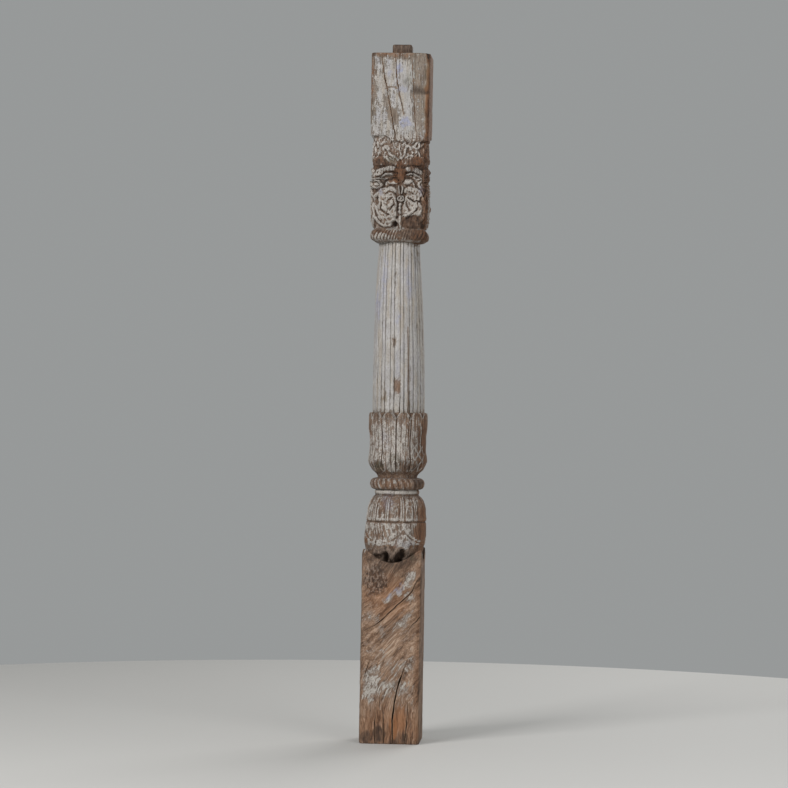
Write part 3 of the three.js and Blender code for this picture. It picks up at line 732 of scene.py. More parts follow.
# Weather left each part of the carving more or less of its height, and wore and pitted it
wear = 1.1 * noise(across / 5.5, capital_height / 8 + face * 40, 0.8, 69)
pits = smoothly(noise(across / 3.8, capital_height / 4.6 + face * 40, 0.3, 67), 0.1, 0.7)
share_left = 0.9 + 0.3 * noise(across / 13, capital_height / 13 + face * 40, 0.2, 70)
relief = relief * share_left + wear - 2.2 * pits
under_head = smoothly(capital_height, head_foot(capital_columns) - 2, head_foot(capital_columns) + 3)
head_plain = stock_radius(capital_columns, HEAD_HALF, STOCK_POWER)
capital_skin = (plain_capital + relief) * (1 - under_head) + (head_plain - 1.2) * under_head
capital_plain = plain_capital * (1 - under_head) + head_plain * under_head
# The right arris stands a little proud, and the left one does round its volute
proud = 3.5 * arris(capital_columns, ARRIS_TURN) * smoothly(1540 - capital_height, 0, 30)
capital_skin = capital_skin + proud * smoothly(capital_height, 1390, 1410)
proud = 5 * arris(capital_columns, -ARRIS_TURN)
capital_skin = capital_skin + proud * np.exp(-((capital_height - 1506) / 22) ** 2)
add_band(capital_columns, np.minimum(capital_skin, head_plain * 1.02), capital_height, capital_plain)

# The head and its tenon
# The top of the stock left square, to carry a bracket or beam. A stub tenon stands on it,
# never painted because it sat in a mortise. The head's right corner has worn off.

HEAD_TOP = 1859
TENON_TOP = 1887
TENON_HALF = (27, 25)
TENON_POWER = 14
HEAD_ROWS = 42
TOP_ROOT = 34  # how far in the top's end grain is seen, to where the tenon stands on it

head_columns = face_columns(60, 20)
head_rows = np.linspace(CAPITAL_TOP + 4, HEAD_TOP - 6, HEAD_ROWS)
head_rows = np.append(head_rows, [HEAD_TOP - 2.5, HEAD_TOP - 0.8])[:, None]
head_inset = np.append(np.zeros(HEAD_ROWS), [0.6, 2.2])[:, None]
head_edge = stock_radius(head_columns, HEAD_HALF, STOCK_POWER)
head_across = on_face(head_columns, head_edge)[1]
head_wear = 0.9 * furrows(head_columns, head_edge, head_rows, 71, 5, 120)
head_wear = head_wear + 0.5 * furrows(head_columns, head_edge, head_rows, 73, 2.6, 80)
head_wear = head_wear + 0.5 * noise(head_columns * 5, head_rows / 70, 0.6, 75) - 0.2
chips = smoothly(noise(head_columns * 3, head_rows / 15, 0.3, 77), 0.15, 0.8)
chips = chips * smoothly(np.abs(head_across), 66, 76)
corner_off = spot(head_columns, head_rows, (TURN / 8, HEAD_TOP + 4), (0.16, 30))
head_skin = head_edge - head_inset + head_wear - 1.6 * chips - 9 * corner_off
add_band(head_columns, head_skin, head_rows, head_edge - head_inset)

top_in = np.array([0.04, 0.3, 0.6, 0.85])[:, None]
top_radius = head_skin[-1] + top_in * (TOP_ROOT - head_skin[-1])
top_wave = lumps(head_columns, top_radius, 12, 0.1, 79)
add_band(head_columns, top_radius, HEAD_TOP - 0.3 - 0.5 * (1 + top_wave), top_radius)

tenon_columns = round_columns(64)
tenon_x = np.abs(np.sin(tenon_columns) / TENON_HALF[0])
tenon_y = np.abs(np.cos(tenon_columns) / TENON_HALF[1])
tenon_side = (tenon_x ** TENON_POWER + tenon_y ** TENON_POWER) ** (-1 / TENON_POWER)
tenon_rows = np.array([(-1, -1), (3, 0), (12, 0.3), (21, 0.2), (25, 0.8), (27.2, 2.6), (28, 6)])
tenon_wear = 0.5 * noise(tenon_columns * 4, tenon_rows[:, :1] / 9, 0.5, 81)
tenon_skin = tenon_side - tenon_rows[:, 1:] - 0.4 + tenon_wear
add_band(tenon_columns, tenon_skin, HEAD_TOP + tenon_rows[:, :1], tenon_side)

# The whole skin
# The pillar is one length of timber, so its stretches are joined into one closed skin, which
# then takes the sideways sway of the seasoned wood.

SWAY = np.array([(480, 0), (640, 6), (900, 6), (1340, 1.2)])
MM = 0.001
SHY = 0.2  # how far inside the stock's edges the skin stays


def sway(height):
    """How far the timber's middle stands right of the foot's: eased between four heights."""
    shift = np.full(np.shape(height), float(SWAY[0, 1]))
    for (z0, x0), (z1, x1) in zip(SWAY[:-1], SWAY[1:]):
        shift = shift + (x1 - x0) * smoothly(height, z0, z1)
    return shift


def hollowness(relief):
    """How far each point lies below its surroundings, in millimetres: the mean of the relief over
    a few rows and columns, less the relief itself."""
    blurred = relief
    for reach in (1, 1, 2, 2):
        blurred = (np.roll(blurred, reach, 1) + blurred + np.roll(blurred, -reach, 1)) / 3
        above = np.vstack([blurred[reach:], blurred[-1:].repeat(reach, 0)])
        below = np.vstack([blurred[:1].repeat(reach, 0), blurred[:-reach]])
        blurred = (above + blurred + below) / 3
    return blurred - relief


def rows_of_quads(start, rows, columns):
    """Corner numbers of the quads of a stretch that closes round the pillar."""
    row = start + np.arange(rows - 1)[:, None] * columns
    here = np.arange(columns)
    after = (here + 1) % columns
    quads = [row + here, row + after, row + columns + after, row + columns + here]
    return np.stack(quads, -1).reshape(-1, 4)


def seam(low_angles, low_start, high_angles, high_start):
    """Triangles between two rings with different numbers of points: the steps of both rings in
    the order of their middle angles, each joined to the point the other ring has reached."""
    low = len(low_angles)
    high = len(high_angles)
    closed = [np.append(a, a[0] + TURN) for a in (low_angles, high_angles)]
    middles = np.concatenate([(a[1:] + a[:-1]) / 2 for a in closed])
    order = np.argsort(middles, kind="stable")
    is_low = order < low
    on_low = (np.cumsum(is_low) - is_low) % low
    on_high = (np.cumsum(~is_low) - ~is_low) % high
    tip = np.where(is_low, low_start + (on_low + 1) % low, high_start + (on_high + 1) % high)
    return np.stack([low_start + on_low, tip, high_start + on_high], -1)


starts = np.cumsum([0] + [b["angle"].size for b in bands])
angle, radius, height = [
    np.concatenate([b[key].ravel() for b in bands]) for key in ("angle", "radius", "height")
]
hollow = np.concatenate([hollowness(b["relief"]).ravel() for b in bands])
faces = []
for band, start in zip(bands, starts):
    faces += rows_of_quads(start, *band["angle"].shape).tolist()
for low, high, low_start, high_start in zip(bands[:-1], bands[1:], starts[:-1], starts[1:]):
    last_row = low_start + low["angle"].size - low["angle"].shape[1]
    faces += seam(low["angle"][-1], last_row, high["angle"][0], high_start).tolist()
# The sole and the tenon's top are fans round two more points
sole_count = bands[0]["angle"].shape[1]
crown_count = bands[-1]["angle"].shape[1]
count = starts[-1]
crown_start = count - crown_count
faces += [(count, (i + 1) % sole_count, i) for i in range(sole_count)]
faces += [
    (count + 1, crown_start + i, crown_start + (i + 1) % crown_count) for i in range(crown_count)
]
angle = np.append(angle, [0, 0])
radius = np.append(radius, [0, 0])
height = np.append(height, [0, TENON_TOP])
hollow = np.append(hollow, [0, 0])

foot_axis = cad_box[0].x / MM + FOOT_HALF
x = radius * np.sin(angle) + sway(height) + foot_axis
x = np.clip(x, cad_box[0].x / MM + SHY, cad_box[1].x / MM - SHY)
points = np.stack([x, -radius * np.cos(angle), height], 1)

# The paint and the bare timber
# Limewash and oil paint, white over lilac and pale blue, have worn to a thin wash and flaked
# from most of the foot and from every edge. What is bare has gone brown, and dark where dirt,
# rot or moss holds. The pillar's right side has lost nearly all its paint.

# Between these heights the pillar is round
ROUND_FROM = 486
ROUND_TO = 1345
# Heights, and how much of the surface keeps paint there, from the sole to the tenon
PAINT_BY_HEIGHT = np.array([
    (0, 0.0), (60, 0.03), (130, 0.22), (200, 0.2), (260, 0.12), (470, 0.12), (480, 0.1), (540, 0.45),
    (600, 0.5), (640, 0.42), (664, 0.34), (671, 0.3), (672.5, 0.95), (681, 0.95), (683, 0.22),
    (712, 0.22), (716, 0.2), (740, 0.3), (770, 0.58), (850, 0.5), (874, 0.26), (892, 0.2), (900, 0.72),
    (1000, 0.9), (1345, 0.92), (1351, 0.35), (1386, 0.4), (1392, 0.6), (1520, 0.52), (1560, 0.4),
    (1575, 0.5), (1625, 0.55), (1650, 0.7), (1800, 0.66), (1857, 0.55), (1858.2, -0.4), (1888, -0.4),
])

face, across = on_face(angle, radius)
front = face == 0
squared = (height < ROUND_FROM) | (height > ROUND_TO)
toward_front = np.cos(angle) + 0.08 * noise(angle * 12, height / 25, 0.5, 88)
ahead = np.where(squared, smoothly(toward_front, 0.5, 0.69), smoothly(toward_front, 0.05, 0.3))
seen_across = radius * np.sin(angle)
paint = np.interp(height, *PAINT_BY_HEIGHT.T)
wander_across = 4.5 * noise(seen_across / 13, height / 16, face * 7.0, 90)
wander_across = wander_across + 2 * noise(seen_across / 5, height / 9, 0.5, 91)
wander_up = 7 * noise(seen_across / 12, height / 22, face * 5.0, 92)
wander_up = wander_up + 4 * noise(seen_across / 4, height / 8, 0.5, 93)


def patches(places):
    """Oval spots on the front, added up. Each is given by its middle across and up, two half
    sizes, an amount and perhaps a tilt, and is the amount times the root of the soft oval. Slow
    noise shifts every point first, so that no edge is a plain oval."""
    total = np.zeros(len(angle))
    for middle_across, middle_up, wide, high, amount, *tilt in places:
        oval = spot(
            seen_across + wander_across, height + wander_up, (middle_across, middle_up), (wide, high), *tilt
        )
        total += amount * np.sqrt(oval)
    return total * ahead


paint += patches([
    # The foot: grey-blue on the smooth band, and white along the grain and over the low cracks
    (6, 402, 13, 42, 0.45, -48), (48, 446, 15, 32, 0.42, -22), (50, 394, 20, 18, 0.36, -40),
    (34, 330, 15, 46, 0.4, -40), (-30, 318, 34, 12, 0.3, -60), (-62, 345, 10, 20, 0.2, -45),
    (-50, 160, 25, 56, 0.46, -8), (-12, 148, 20, 26, 0.36, -20), (30, 152, 26, 20, 0.36, -30),
    (-10, 225, 60, 24, 0.14, -40), (50, 215, 20, 30, 0.2, -40), (0, 30, 80, 46, -0.3),
    (-44, 436, 44, 46, -0.25),
    # The pot: bare where it has rotted and down its right side
    (0, 500, 84, 34, -0.8), (70, 590, 16, 90, -0.6), (-78, 552, 12, 16, -0.6), (-32, 640, 8, 24, -0.4),
    (20, 560, 40, 20, 0.15),
    # The bell: bare low down and to the right
    (64, 790, 20, 110, -0.25), (-42, 744, 18, 20, -0.3), (-76, 850, 8, 40, -0.5),
    (-10, 742, 14, 12, 0.5), (-34, 830, 20, 40, 0.2), (4, 815, 24, 44, 0.2), (30, 750, 24, 14, -0.3),
    # The shaft: two bare spots low down, and a thin grey stretch
    (0, 965, 12, 26, -0.9), (-40, 955, 13, 40, -0.4), (-8, 1080, 13, 14, -0.9),
    (44, 1320, 10, 40, -0.4), (-4, 1240, 6, 60, -0.5), (-30, 1120, 16, 40, -0.2),
    (10, 930, 40, 30, -0.2), (34, 1000, 8, 50, -0.3), (-34, 930, 10, 12, -0.5), (30, 910, 20, 14, -0.3),
    # The rope moulding and the capital: bare to the right and where something broke off
    (-44, 1361, 40, 9, 0.4), (-44, 1378, 42, 9, -0.6), (36, 1368, 52, 14, -0.7), (0, 1366, 14, 10, 0.3),
    (38, 1402, 38, 24, -1.0), (2, 1534, 20, 34, -0.8), (76, 1480, 16, 110, -1.2),
    (-54, 1566, 24, 15, -0.9), (54, 1562, 34, 20, -1.0), (68, 1600, 12, 40, -0.7),
    (-18, 1512, 16, 9, -0.6), (-25, 1570, 22, 10, 0.35, -35), (42, 1536, 26, 9, 0.3),
    (-38, 1535, 30, 9, -0.1),
    # The head: bare between the cracks and down the right third
    (-75, 1770, 10, 110, -0.45), (-26, 1700, 15, 46, -0.45, 16), (-8, 1690, 12, 30, -0.2),
    (56, 1750, 26, 130, -0.42), (62, 1757, 24, 9, -0.9, -10), (18, 1700, 20, 70, 0.25),
    (-50, 1760, 9, 50, 0.3), (-26, 1800, 18, 40, 0.2, 10), (12, 1790, 24, 70, 0.2),
    (-20, 1852, 70, 10, -0.45),
])
# The raised ribs kept theirs
on_bell = (height > BELL_RIM - 180) & (height < BELL_RIM)
on_pot = (height > 500) & (height < POT_LINE)
paint += on_bell * (0.75 * dart_ribs(angle, height)[1] + 0.8 * crossed_veins(angle, height))
paint += on_pot * 0.5 * hung_ribs(angle, height)[2]
# Little is left on the hidden faces of the foot
elsewhere = (face != 0) & (height < ROUND_FROM)
paint += elsewhere * 0.3 * smoothly(noise(across / 22, height / 60, face * 7.0, 99), 0.0, 0.7)
patchy = smoothly(noise(across / 26, height / 60, face * 3.0, 94), -0.55, 0.35)
# The right face and the front's right edge, from 0 to 1, and the same side of the round parts
near_front = smoothly(-across, 20, 74)
front_edge = np.where(front, smoothly(seen_across + wander_across, 64, 73), 0)
right_side = np.where(face == 1, np.maximum(0.5 + 0.4 * patchy, near_front), front_edge)
toward_right = np.sin(angle) + 0.06 * noise(angle * 9, height / 20, 0.5, 98)
round_side = smoothly(toward_right, 0.80, 0.97) * (0.5 + 0.5 * patchy)
right_side = np.where(squared, right_side, round_side)
right_side = np.where(height > HEAD_TOP - 1.6, 0, right_side)
on_shaft = (height > BELL_RIM) & (height < SHAFT_TOP + 2)
paint -= right_side * np.where(on_shaft, 0.35, 0.8)
paint -= 0.1 * (np.cos(angle) < -0.5)

# Heights, and how much darker the timber is made there, then how grey it has weathered
DARK_BY_HEIGHT = np.array([
    (0, 0.15), (40, 0.05), (486, 0.0), (495, 0.4), (530, 0.15), (640, 0.15), (663, 0.3), (667, 0.9),
    (671, 0.9), (672.5, 0.1), (681, 0.1), (683, 0.4), (690, 0.25), (716, 0.4), (740, 0.45), (770, 0.12),
    (860, 0.1), (892, 0.2), (900, 0.0), (1348, 0.0), (1351, 0.35), (1385, 0.4), (1395, 0.22),
    (1560, 0.25), (1632, 0.15), (1640, 0.07), (1857, 0.07), (1858.4, 0.35), (1860, 1.0), (1888, 1.0),
])
GREY_BY_HEIGHT = np.array([
    (0, 0.0), (480, 0.0), (540, 0.08), (668, 0.12), (716, 0.0), (780, 0.2), (892, 0.2), (900, 0.9),
    (1345, 0.9), (1352, 0.0), (1400, 0.08), (1560, 0.08), (1625, 0.2), (1640, 0.9), (1858, 0.9),
    (1861, 0.0), (1888, 0.0),
])
grey = np.interp(height, *GREY_BY_HEIGHT.T) + elsewhere * 0.3
dark = np.interp(height, *DARK_BY_HEIGHT.T)
dark += elsewhere * 0.45 * smoothly(noise(across / 28, height / 50, face * 9.0, 89), 0.0, 0.8)
dark += patches([
    (-62, 18, 18, 20, 1.2), (-26, 24, 20, 24, 1.3), (42, 12, 12, 18, 1.0), (12, 8, 16, 12, 0.9),
    (-44, 1378, 40, 9, 0.4), (64, 698, 22, 18, 0.6), (-8, 514, 46, 16, 0.5),
    (54, 1757, 28, 13, 1.0, -12), (16, 1786, 15, 9, 0.5), (-46, 746, 18, 20, 0.75),
    (-2, 764, 24, 16, 0.5), (0, 496, 72, 34, 1.0), (-42, 448, 38, 34, 0.6), (40, 1402, 38, 24, 0.9),
    (-9, 1399, 9, 9, 1.0), (2, 1534, 18, 32, 0.35), (54, 1562, 36, 20, 0.6), (-52, 1564, 24, 16, 0.7),
    (78, 1480, 14, 110, 0.5), (40, 1368, 48, 16, 0.8), (34, 752, 30, 20, 0.6), (60, 800, 26, 60, 0.35),
    (-10, 880, 84, 14, 0.45), (20, 452, 40, 16, 0.35, 30), (-4, 1012, 6, 60, 0.15),
    (40, 1545, 30, 12, 0.35), (-40, 1520, 30, 8, 0.35), (70, 1395, 12, 14, 0.6), (64, 716, 30, 14, 0.5),
    (-74, 1852, 9, 12, 0.9), (60, 1545, 20, 10, 0.4), (-52, 1566, 20, 12, 0.3),
    (80, 1760, 5, 110, 0.35), (16, 1672, 6, 30, 0.15),
])
dark += 0.3 * right_side * (height < 480) + 0.35 * right_side * (height > ROUND_TO)
warm = patches([
    (-14, 400, 76, 60, 0.55, -40), (14, 48, 10, 46, 0.9), (34, 70, 16, 40, 0.5), (2, 1534, 20, 34, 1.3),
    (0, 965, 14, 28, 0.7), (-18, 1512, 16, 10, 0.8), (0, 698, 70, 16, 0.35), (60, 1565, 30, 20, 0.3),
    (-76, 548, 12, 14, 0.9), (60, 1368, 26, 16, 0.9), (-44, 1368, 30, 12, 0.8), (0, 1400, 8, 20, 0.5),
    (0, 40, 90, 70, 0.45), (56, 1562, 34, 18, 1.0), (-54, 1564, 22, 16, 0.9), (-80, 1770, 8, 110, 0.9),
    (-30, 1856, 70, 8, 0.8), (40, 1402, 38, 22, 0.4), (66, 800, 16, 90, 0.5), (70, 580, 18, 80, 0.6),
])
warm += right_side * np.where(height > SHAFT_TOP + 2, 0.95, 0.35)
grey = grey * (1 - 0.9 * np.clip(warm, 0, 1)) * (1 - 0.7 * right_side * (height > ROUND_TO))
blue = patches([
    (-1, 1815, 9, 16, 1.4), (-27, 1800, 9, 12, 0.7), (14, 1671, 17, 13, 1.6), (10, 1762, 18, 12, 0.6),
    (8, 408, 10, 34, 0.8, -50), (-36, 1250, 9, 70, 0.7), (-54, 1180, 8, 50, 0.8),
    (30, 1240, 8, 60, 0.6), (2, 1140, 6, 30, 0.7), (2, 1010, 6, 40, 0.4), (-20, 650, 20, 30, 0.4),
    (30, 540, 30, 12, 0.3), (-48, 1488, 10, 9, 0.6), (60, 1488, 8, 12, 0.6), (-60, 1690, 14, 20, 0.25),
    (-30, 820, 16, 30, 0.3),
])
moss = patches([
    (-44, 744, 16, 16, 0.8), (-2, 765, 20, 12, 0.6), (34, 1810, 12, 60, 0.4), (20, 1790, 16, 24, 0.6),
    (-24, 1572, 16, 10, 0.7), (-70, 1690, 8, 40, 0.5), (38, 915, 14, 30, 0.5), (70, 1800, 8, 50, 0.5),
    (56, 500, 8, 12, 0.6), (46, 1310, 9, 40, 0.5), (-38, 926, 10, 12, 0.6), (66, 1700, 8, 40, 0.4),
])
# Heights, and how speckled the surface is there with small dark pits and flakes
SPECKLE_BY_HEIGHT = np.array([
    (0, 0.08), (440, 0.1), (486, 0.3), (520, 0.7), (660, 0.65), (690, 0.35), (720, 0.6), (890, 0.6),
    (900, 0.25), (1340, 0.25), (1350, 0.6), (1400, 0.5), (1500, 0.5), (1540, 0.8), (1630, 0.85),
    (1640, 0.25), (1860, 0.2),
])
speckle = np.interp(height, *SPECKLE_BY_HEIGHT.T)
speckle += patches([
    (-44, 438, 40, 46, 1.0), (48, 446, 15, 32, 0.3, -22), (-50, 160, 25, 56, 0.3, -8),
    (2, 1534, 22, 36, 0.1), (-46, 746, 24, 24, 0.5), (-2, 760, 24, 16, 0.4), (-72, 1770, 10, 110, 0.5),
    (-20, 1850, 70, 9, 0.5), (-8, 1080, 14, 16, 0.4), (0, 965, 16, 30, 0.4),
])


def new_mesh(name, corners, faces):
    """A mesh with these corners, in metres, and these faces."""
    mesh = bpy.data.meshes.new(name)
    mesh.from_pydata(corners, [], faces)
    mesh.update()
    return mesh


def stood(name, data):
    """A new object in the scene for a mesh, a lamp or a camera."""
    thing = bpy.data.objects.new(name, data)
    bpy.context.scene.collection.objects.link(thing)
    return thing


def keep_share(mesh, name, values):
    """Stores one number for each corner of a mesh, for the material to read."""
    layer = mesh.attributes.new(name, "FLOAT", "POINT")
    layer.data.foreach_set("value", np.asarray(values, np.float32))


def keep_grain(mesh, places):
    """Stores the place of each corner of a mesh along the grain: three numbers, in metres."""
    layer = mesh.attributes.new("grain", "FLOAT_VECTOR", "POINT")
    layer.data.foreach_set("vector", np.asarray(places, np.float32).ravel())


skin = new_mesh("carved_pillar", (points * MM).tolist(), faces)
shares = {
    "paint": paint, "dark": dark, "warm": warm, "grey": grey, "blue": blue, "moss": moss, "speckle": speckle,
}
for name, values in shares.items():
    keep_share(skin, name, np.clip(values, 0, 1))
# The dirt and painted shade of the hollows lie thinner in the capital's cuts, thinnest beside the
# beads. Next to none of either shows at the head's worn right corner.
on_lobes = smoothly(height, 1392, 1400) * smoothly(1556 - height, 0, 10)
beside_beads = front * (height > 1405) * smoothly(1500 - height, 0, 15)
beside_beads = beside_beads * smoothly(20 - np.abs(across - FRONT_MIDDLE), 0, 6)
hollow = hollow * (1 - 0.15 * on_lobes - 0.3 * on_lobes * beside_beads)
worn_corner = (height > 1830) & (height < 1860) & (across > 50)
hollow = np.where(worn_corner, 0.1 * hollow, hollow)
keep_share(skin, "hollow", np.clip(hollow / 3, -1, 1))
keep_grain(skin, np.stack(along_grain(angle, radius, height), 1) * MM)
pillar = stood("carved_pillar", skin)

# The cracks
# Drying opened the timber along its grain. Each crack is a wedge of air, cut out of the skin,
# that wanders from fibre to fibre. A row gives its path on a face, across and up, its width and
# its depth.

HEAD_CRACKS = [
    ([(-51, 1866), (-46, 1812), (-39, 1778), (-28, 1721), (-12, 1639), (-4, 1606)], 3.2, 10),
    ([(-15.7, 1876), (-10, 1794), (0, 1740), (12, 1690)], 2.8, 9),
    ([(31, 1842), (36, 1760), (41, 1690), (47, 1628)], 2.0, 6),
    ([(66, 1712), (77, 1643)], 2.4, 6),
    ([(-40, 1763), (-22, 1765), (-7, 1762)], 1.5, 3),
]
FOOT_CRACKS = [
    (MAIN_CRACK, 3.8, 14),
    ([(104, 366), (84, 348), (58, 320), (36, 290)], 4.6, 11),
    ([(104, 300), (86, 284), (68, 258)], 4.2, 9),
    ([(44, 222), (34, 194), (24, 160), (16, 125), (8.5, 63), (10.5, 4), (11, -80)], 7.5, 22),
    ([(50, 118), (48, 60), (43, 4), (40, -70)], 5.6, 13),
    ([(-18, 104), (-15, 50), (-12, -60)], 4.6, 11),
    ([(-36, 104), (-38, 40), (-36, -60)], 4.2, 10),
    ([(-25, 96), (-27, 114), (-24, 136)], 3.2, 7),
    ([(-70, 172), (-62, 204), (-50, 238)], 3.6, 7),
    ([(-30, 176), (-22, 210), (-10, 240)], 2.4, 5),
    ([(56, 200), (64, 222), (78, 244)], 2.8, 6),
]

# The other faces have the face's number first, 1 to 3 from the right side round to the left
HIDDEN_FOOT_CRACKS = [
    (1, [(22, 150), (18, 80), (20, 10), (20, -70)], 4.5, 12),
    (1, [(-60, 250), (-34, 292), (-4, 330)], 3.4, 8),
    (2, [(-26, 190), (-20, 110), (-22, 20), (-22, -70)], 5.0, 14),
    (2, [(10, 300), (34, 338), (66, 380)], 3.4, 8),
    (3, [(-8, 120), (-12, 60), (-10, 4), (-10, -70)], 4.4, 11),
    (3, [(-50, 330), (-24, 366), (10, 404)], 3.6, 9),
]
HIDDEN_HEAD_CRACKS = [
    (1, [(10, 1868), (14, 1790), (10, 1700)], 2.8, 8),
    (1, [(-40, 1700), (-36, 1660), (-38, 1615)], 2.2, 6),
    (2, [(-22, 1868), (-18, 1800), (-26, 1720)], 2.6, 8),
    (3, [(24, 1868), (20, 1780), (26, 1690)], 2.8, 8),
]
# One crack runs down the shaft into the bell, so many degrees right of the front's middle. Its
# path counts millimetres round from there.
SHAFT_CRACK_TURN = np.radians(25)
SHAFT_CRACK = [(0, 1120), (0, 1000), (0.5, 880), (2, 770)]
PROUD = 4.0  # how far a wedge stands out of the wood, so that it opens the surface


def wedge(path, width, depth, surface, seed):
    """Corners and faces of a wedge along a path: left, right and bottom at each step. It is open
    by a sine over its length, narrow at both ends, and noise shifts it and varies its width."""
    path = curve(path, 9)
    run = np.gradient(path, axis=0)
    side = np.stack([run[:, 1], -run[:, 0]], 1) / np.hypot(*run.T)[:, None]
    length = np.concatenate([[0], np.cumsum(np.hypot(*np.diff(path, axis=0).T))])
    share = (np.arange(len(path)) + 0.4) / (len(path) - 0.2)
    wander = 1.3 * noise(length / 16, seed, 0.5, 95) + 0.7 * noise(length / 6, seed, 0.5, 96)
    path = path + side * wander[:, None]
    opening = 0.18 + 0.82 * np.sin(share * np.pi) ** 0.8
    opening = opening * (1 + 0.45 * noise(length / 12, seed, 0.5, 97))
    reach = side * opening[:, None] * width / 2
    corners = np.stack([
        surface(*(path - reach).T, PROUD + 0 * share),
        surface(*(path + reach).T, PROUD + 0 * share),
        surface(*path.T, -depth * opening),
    ], 1).reshape(-1, 3)
    sides = rows_of_quads(0, len(path), 3)
    last = 3 * len(path) - 3
    return corners, sides.tolist() + [(2, 1, 0), (last, last + 1, last + 2)]


def on_flat(half, face=0):
    """A place on a face of a square stretch, across, up and outwards from it: the front's place
    turned by so many quarters."""
    quarter = face * TURN / 4
    return lambda x, z, lift: np.stack([
        x * np.cos(quarter) + (half + lift) * np.sin(quarter) + sway(z) + foot_axis,
        x * np.sin(quarter) - (half + lift) * np.cos(quarter),
        z,
    ], 1)


def on_round(x, z, lift):
    """A place on the shaft or the bell, across from the crack's line, up and outwards: the
    distance across over the bell's radius is the angle from that line."""
    radius = np.where(z > BELL_RIM, shaft_radius(z), BELL_RADIUS) + lift
    angle = SHAFT_CRACK_TURN + x / BELL_RADIUS
    return np.stack([radius * np.sin(angle) + sway(z) + foot_axis, -radius * np.cos(angle), z], 1)


cracks = [(*crack, on_flat(HEAD_HALF)) for crack in HEAD_CRACKS]
cracks += [(*crack, on_flat(FOOT_HALF)) for crack in FOOT_CRACKS]
cracks += [(SHAFT_CRACK, 3.0, 9, on_round)]
cracks += [(*crack, on_flat(FOOT_HALF, side)) for side, *crack in HIDDEN_FOOT_CRACKS]
cracks += [(*crack, on_flat(HEAD_HALF, side)) for side, *crack in HIDDEN_HEAD_CRACKS]
air_corners = []
air_faces = []
for seed, crack in enumerate(cracks):
    corners, sides = wedge(*crack, seed)
    air_faces += [[i + len(air_corners) for i in corner_numbers] for corner_numbers in sides]
    air_corners += (corners * MM).tolist()
air_mesh = new_mesh("air", air_corners, air_faces)
# The inside of a crack is dark, with the full dirt and painted shade of a hollow, and has no paint
for name in shares:
    keep_share(air_mesh, name, np.full(len(air_corners), float(name == "dark")))
keep_share(air_mesh, "hollow", np.ones(len(air_corners)))
keep_grain(air_mesh, air_corners)
air = stood("air", air_mesh)

SHARP = np.radians(48)  # edges steeper than this show as edges
cut = pillar.modifiers.new("cracks", "BOOLEAN")
cut.operation = "DIFFERENCE"
cut.solver = "MANIFOLD"
cut.object = air
graph = bpy.context.evaluated_depsgraph_get()
cracked = bpy.data.meshes.new_from_object(pillar.evaluated_get(graph))
pillar.modifiers.clear()
pillar.data = cracked
bpy.data.meshes.remove(skin)
bpy.data.objects.remove(air)
cracked.name = "carved_pillar"
cracked.shade_smooth()
cracked.set_sharp_from_angle(angle=SHARP)

# The material: bare timber under flaking paint
# Brown weathered wood with streaks along its grain, and over it matt paint whose edge breaks up
# into flakes. Dirt and painted shade darken the hollows, and ridges get painted highlights.

finish = bpy.data.materials.new("painted_timber")
finish.use_nodes = True
tree = finish.node_tree
tree.nodes.clear()


def put(kind, inputs=None, **settings):
    """Adds a node: settings are its properties, and each input is a number, colour or socket."""
    node = tree.nodes.new("ShaderNode" + kind)
    for key, value in settings.items():
        setattr(node, key, value)
    for key, value in (inputs or {}).items():
        if isinstance(value, bpy.types.NodeSocket):
            tree.links.new(value, node.inputs[key])
        else:
            node.inputs[key].default_value = value
    return node


def attribute(name):
    """The socket of a share stored in the mesh."""
    return put("Attribute", attribute_name=name).outputs["Fac"]


def reckon(operation, first, second=0.0, third=0.0, clamp=False):
    """The socket of a sum on two or three numbers."""
    return put("Math", {0: first, 1: second, 2: third}, operation=operation, use_clamp=clamp).outputs[0]


def times(first, second):
    """The socket of two numbers multiplied."""
    return reckon("MULTIPLY", first, second)


def nudged(value, texture, amount):
    """The socket of a value plus the amount times what a texture lies above its middle, 0.5."""
    return reckon("MULTIPLY_ADD", reckon("SUBTRACT", texture, 0.5), amount, value)


def between(value, low, high, out_low=0.0, out_high=1.0):
    """The socket of an eased step between two values."""
    inputs = {"Value": value, "From Min": low, "From Max": high, "To Min": out_low, "To Max": out_high}
    return put("MapRange", inputs, interpolation_type="SMOOTHSTEP").outputs["Result"]


def blend(share, first, second):
    """The socket of a mix of two colours."""
    node = put("Mix", {"Factor": share}, data_type="RGBA", clamp_factor=True)
    for socket, value in ((node.inputs[6], first), (node.inputs[7], second)):
        if isinstance(value, bpy.types.NodeSocket):
            tree.links.new(value, socket)
        else:
            socket.default_value = (*value, 1)
    return node.outputs[2]


def mottle(vector, stretch, detail=3.0, roughness=0.6, twist=0.0):
    """The socket of noise from 0 to 1 on a stretched copy of a vector."""
    scaled = put("VectorMath", {0: vector, 1: stretch}, operation="MULTIPLY").outputs[0]
    inputs = {"Vector": scaled, "Scale": 1.0, "Detail": detail, "Roughness": roughness, "Distortion": twist}
    return put("TexNoise", inputs).outputs["Fac"]


place = put("TexCoord").outputs["Object"]
grain = put("Attribute", attribute_name="grain").outputs["Vector"]
hollow_share = attribute("hollow")
kept = attribute("paint")
warmth = attribute("warm")
weathered = attribute("grey")
broken_up = attribute("speckle")
streak = mottle(grain, (400, 400, 20), 3.0, 0.65, 0.7)
fine_streak = mottle(grain, (1000, 1000, 60), 2.0, 0.6, 0.5)
broad = mottle(grain, (60, 60, 9))
flake = mottle(place, (130, 130, 85), 6.0, 0.68)
crumb = mottle(place, (560, 560, 440), 3.0, 0.7)
cloud = mottle(place, (26, 26, 20), 2.0)
tint = mottle(place, (75, 75, 11), 3.0, 0.6)
uneven = mottle(place, (95, 95, 90), 2.0)

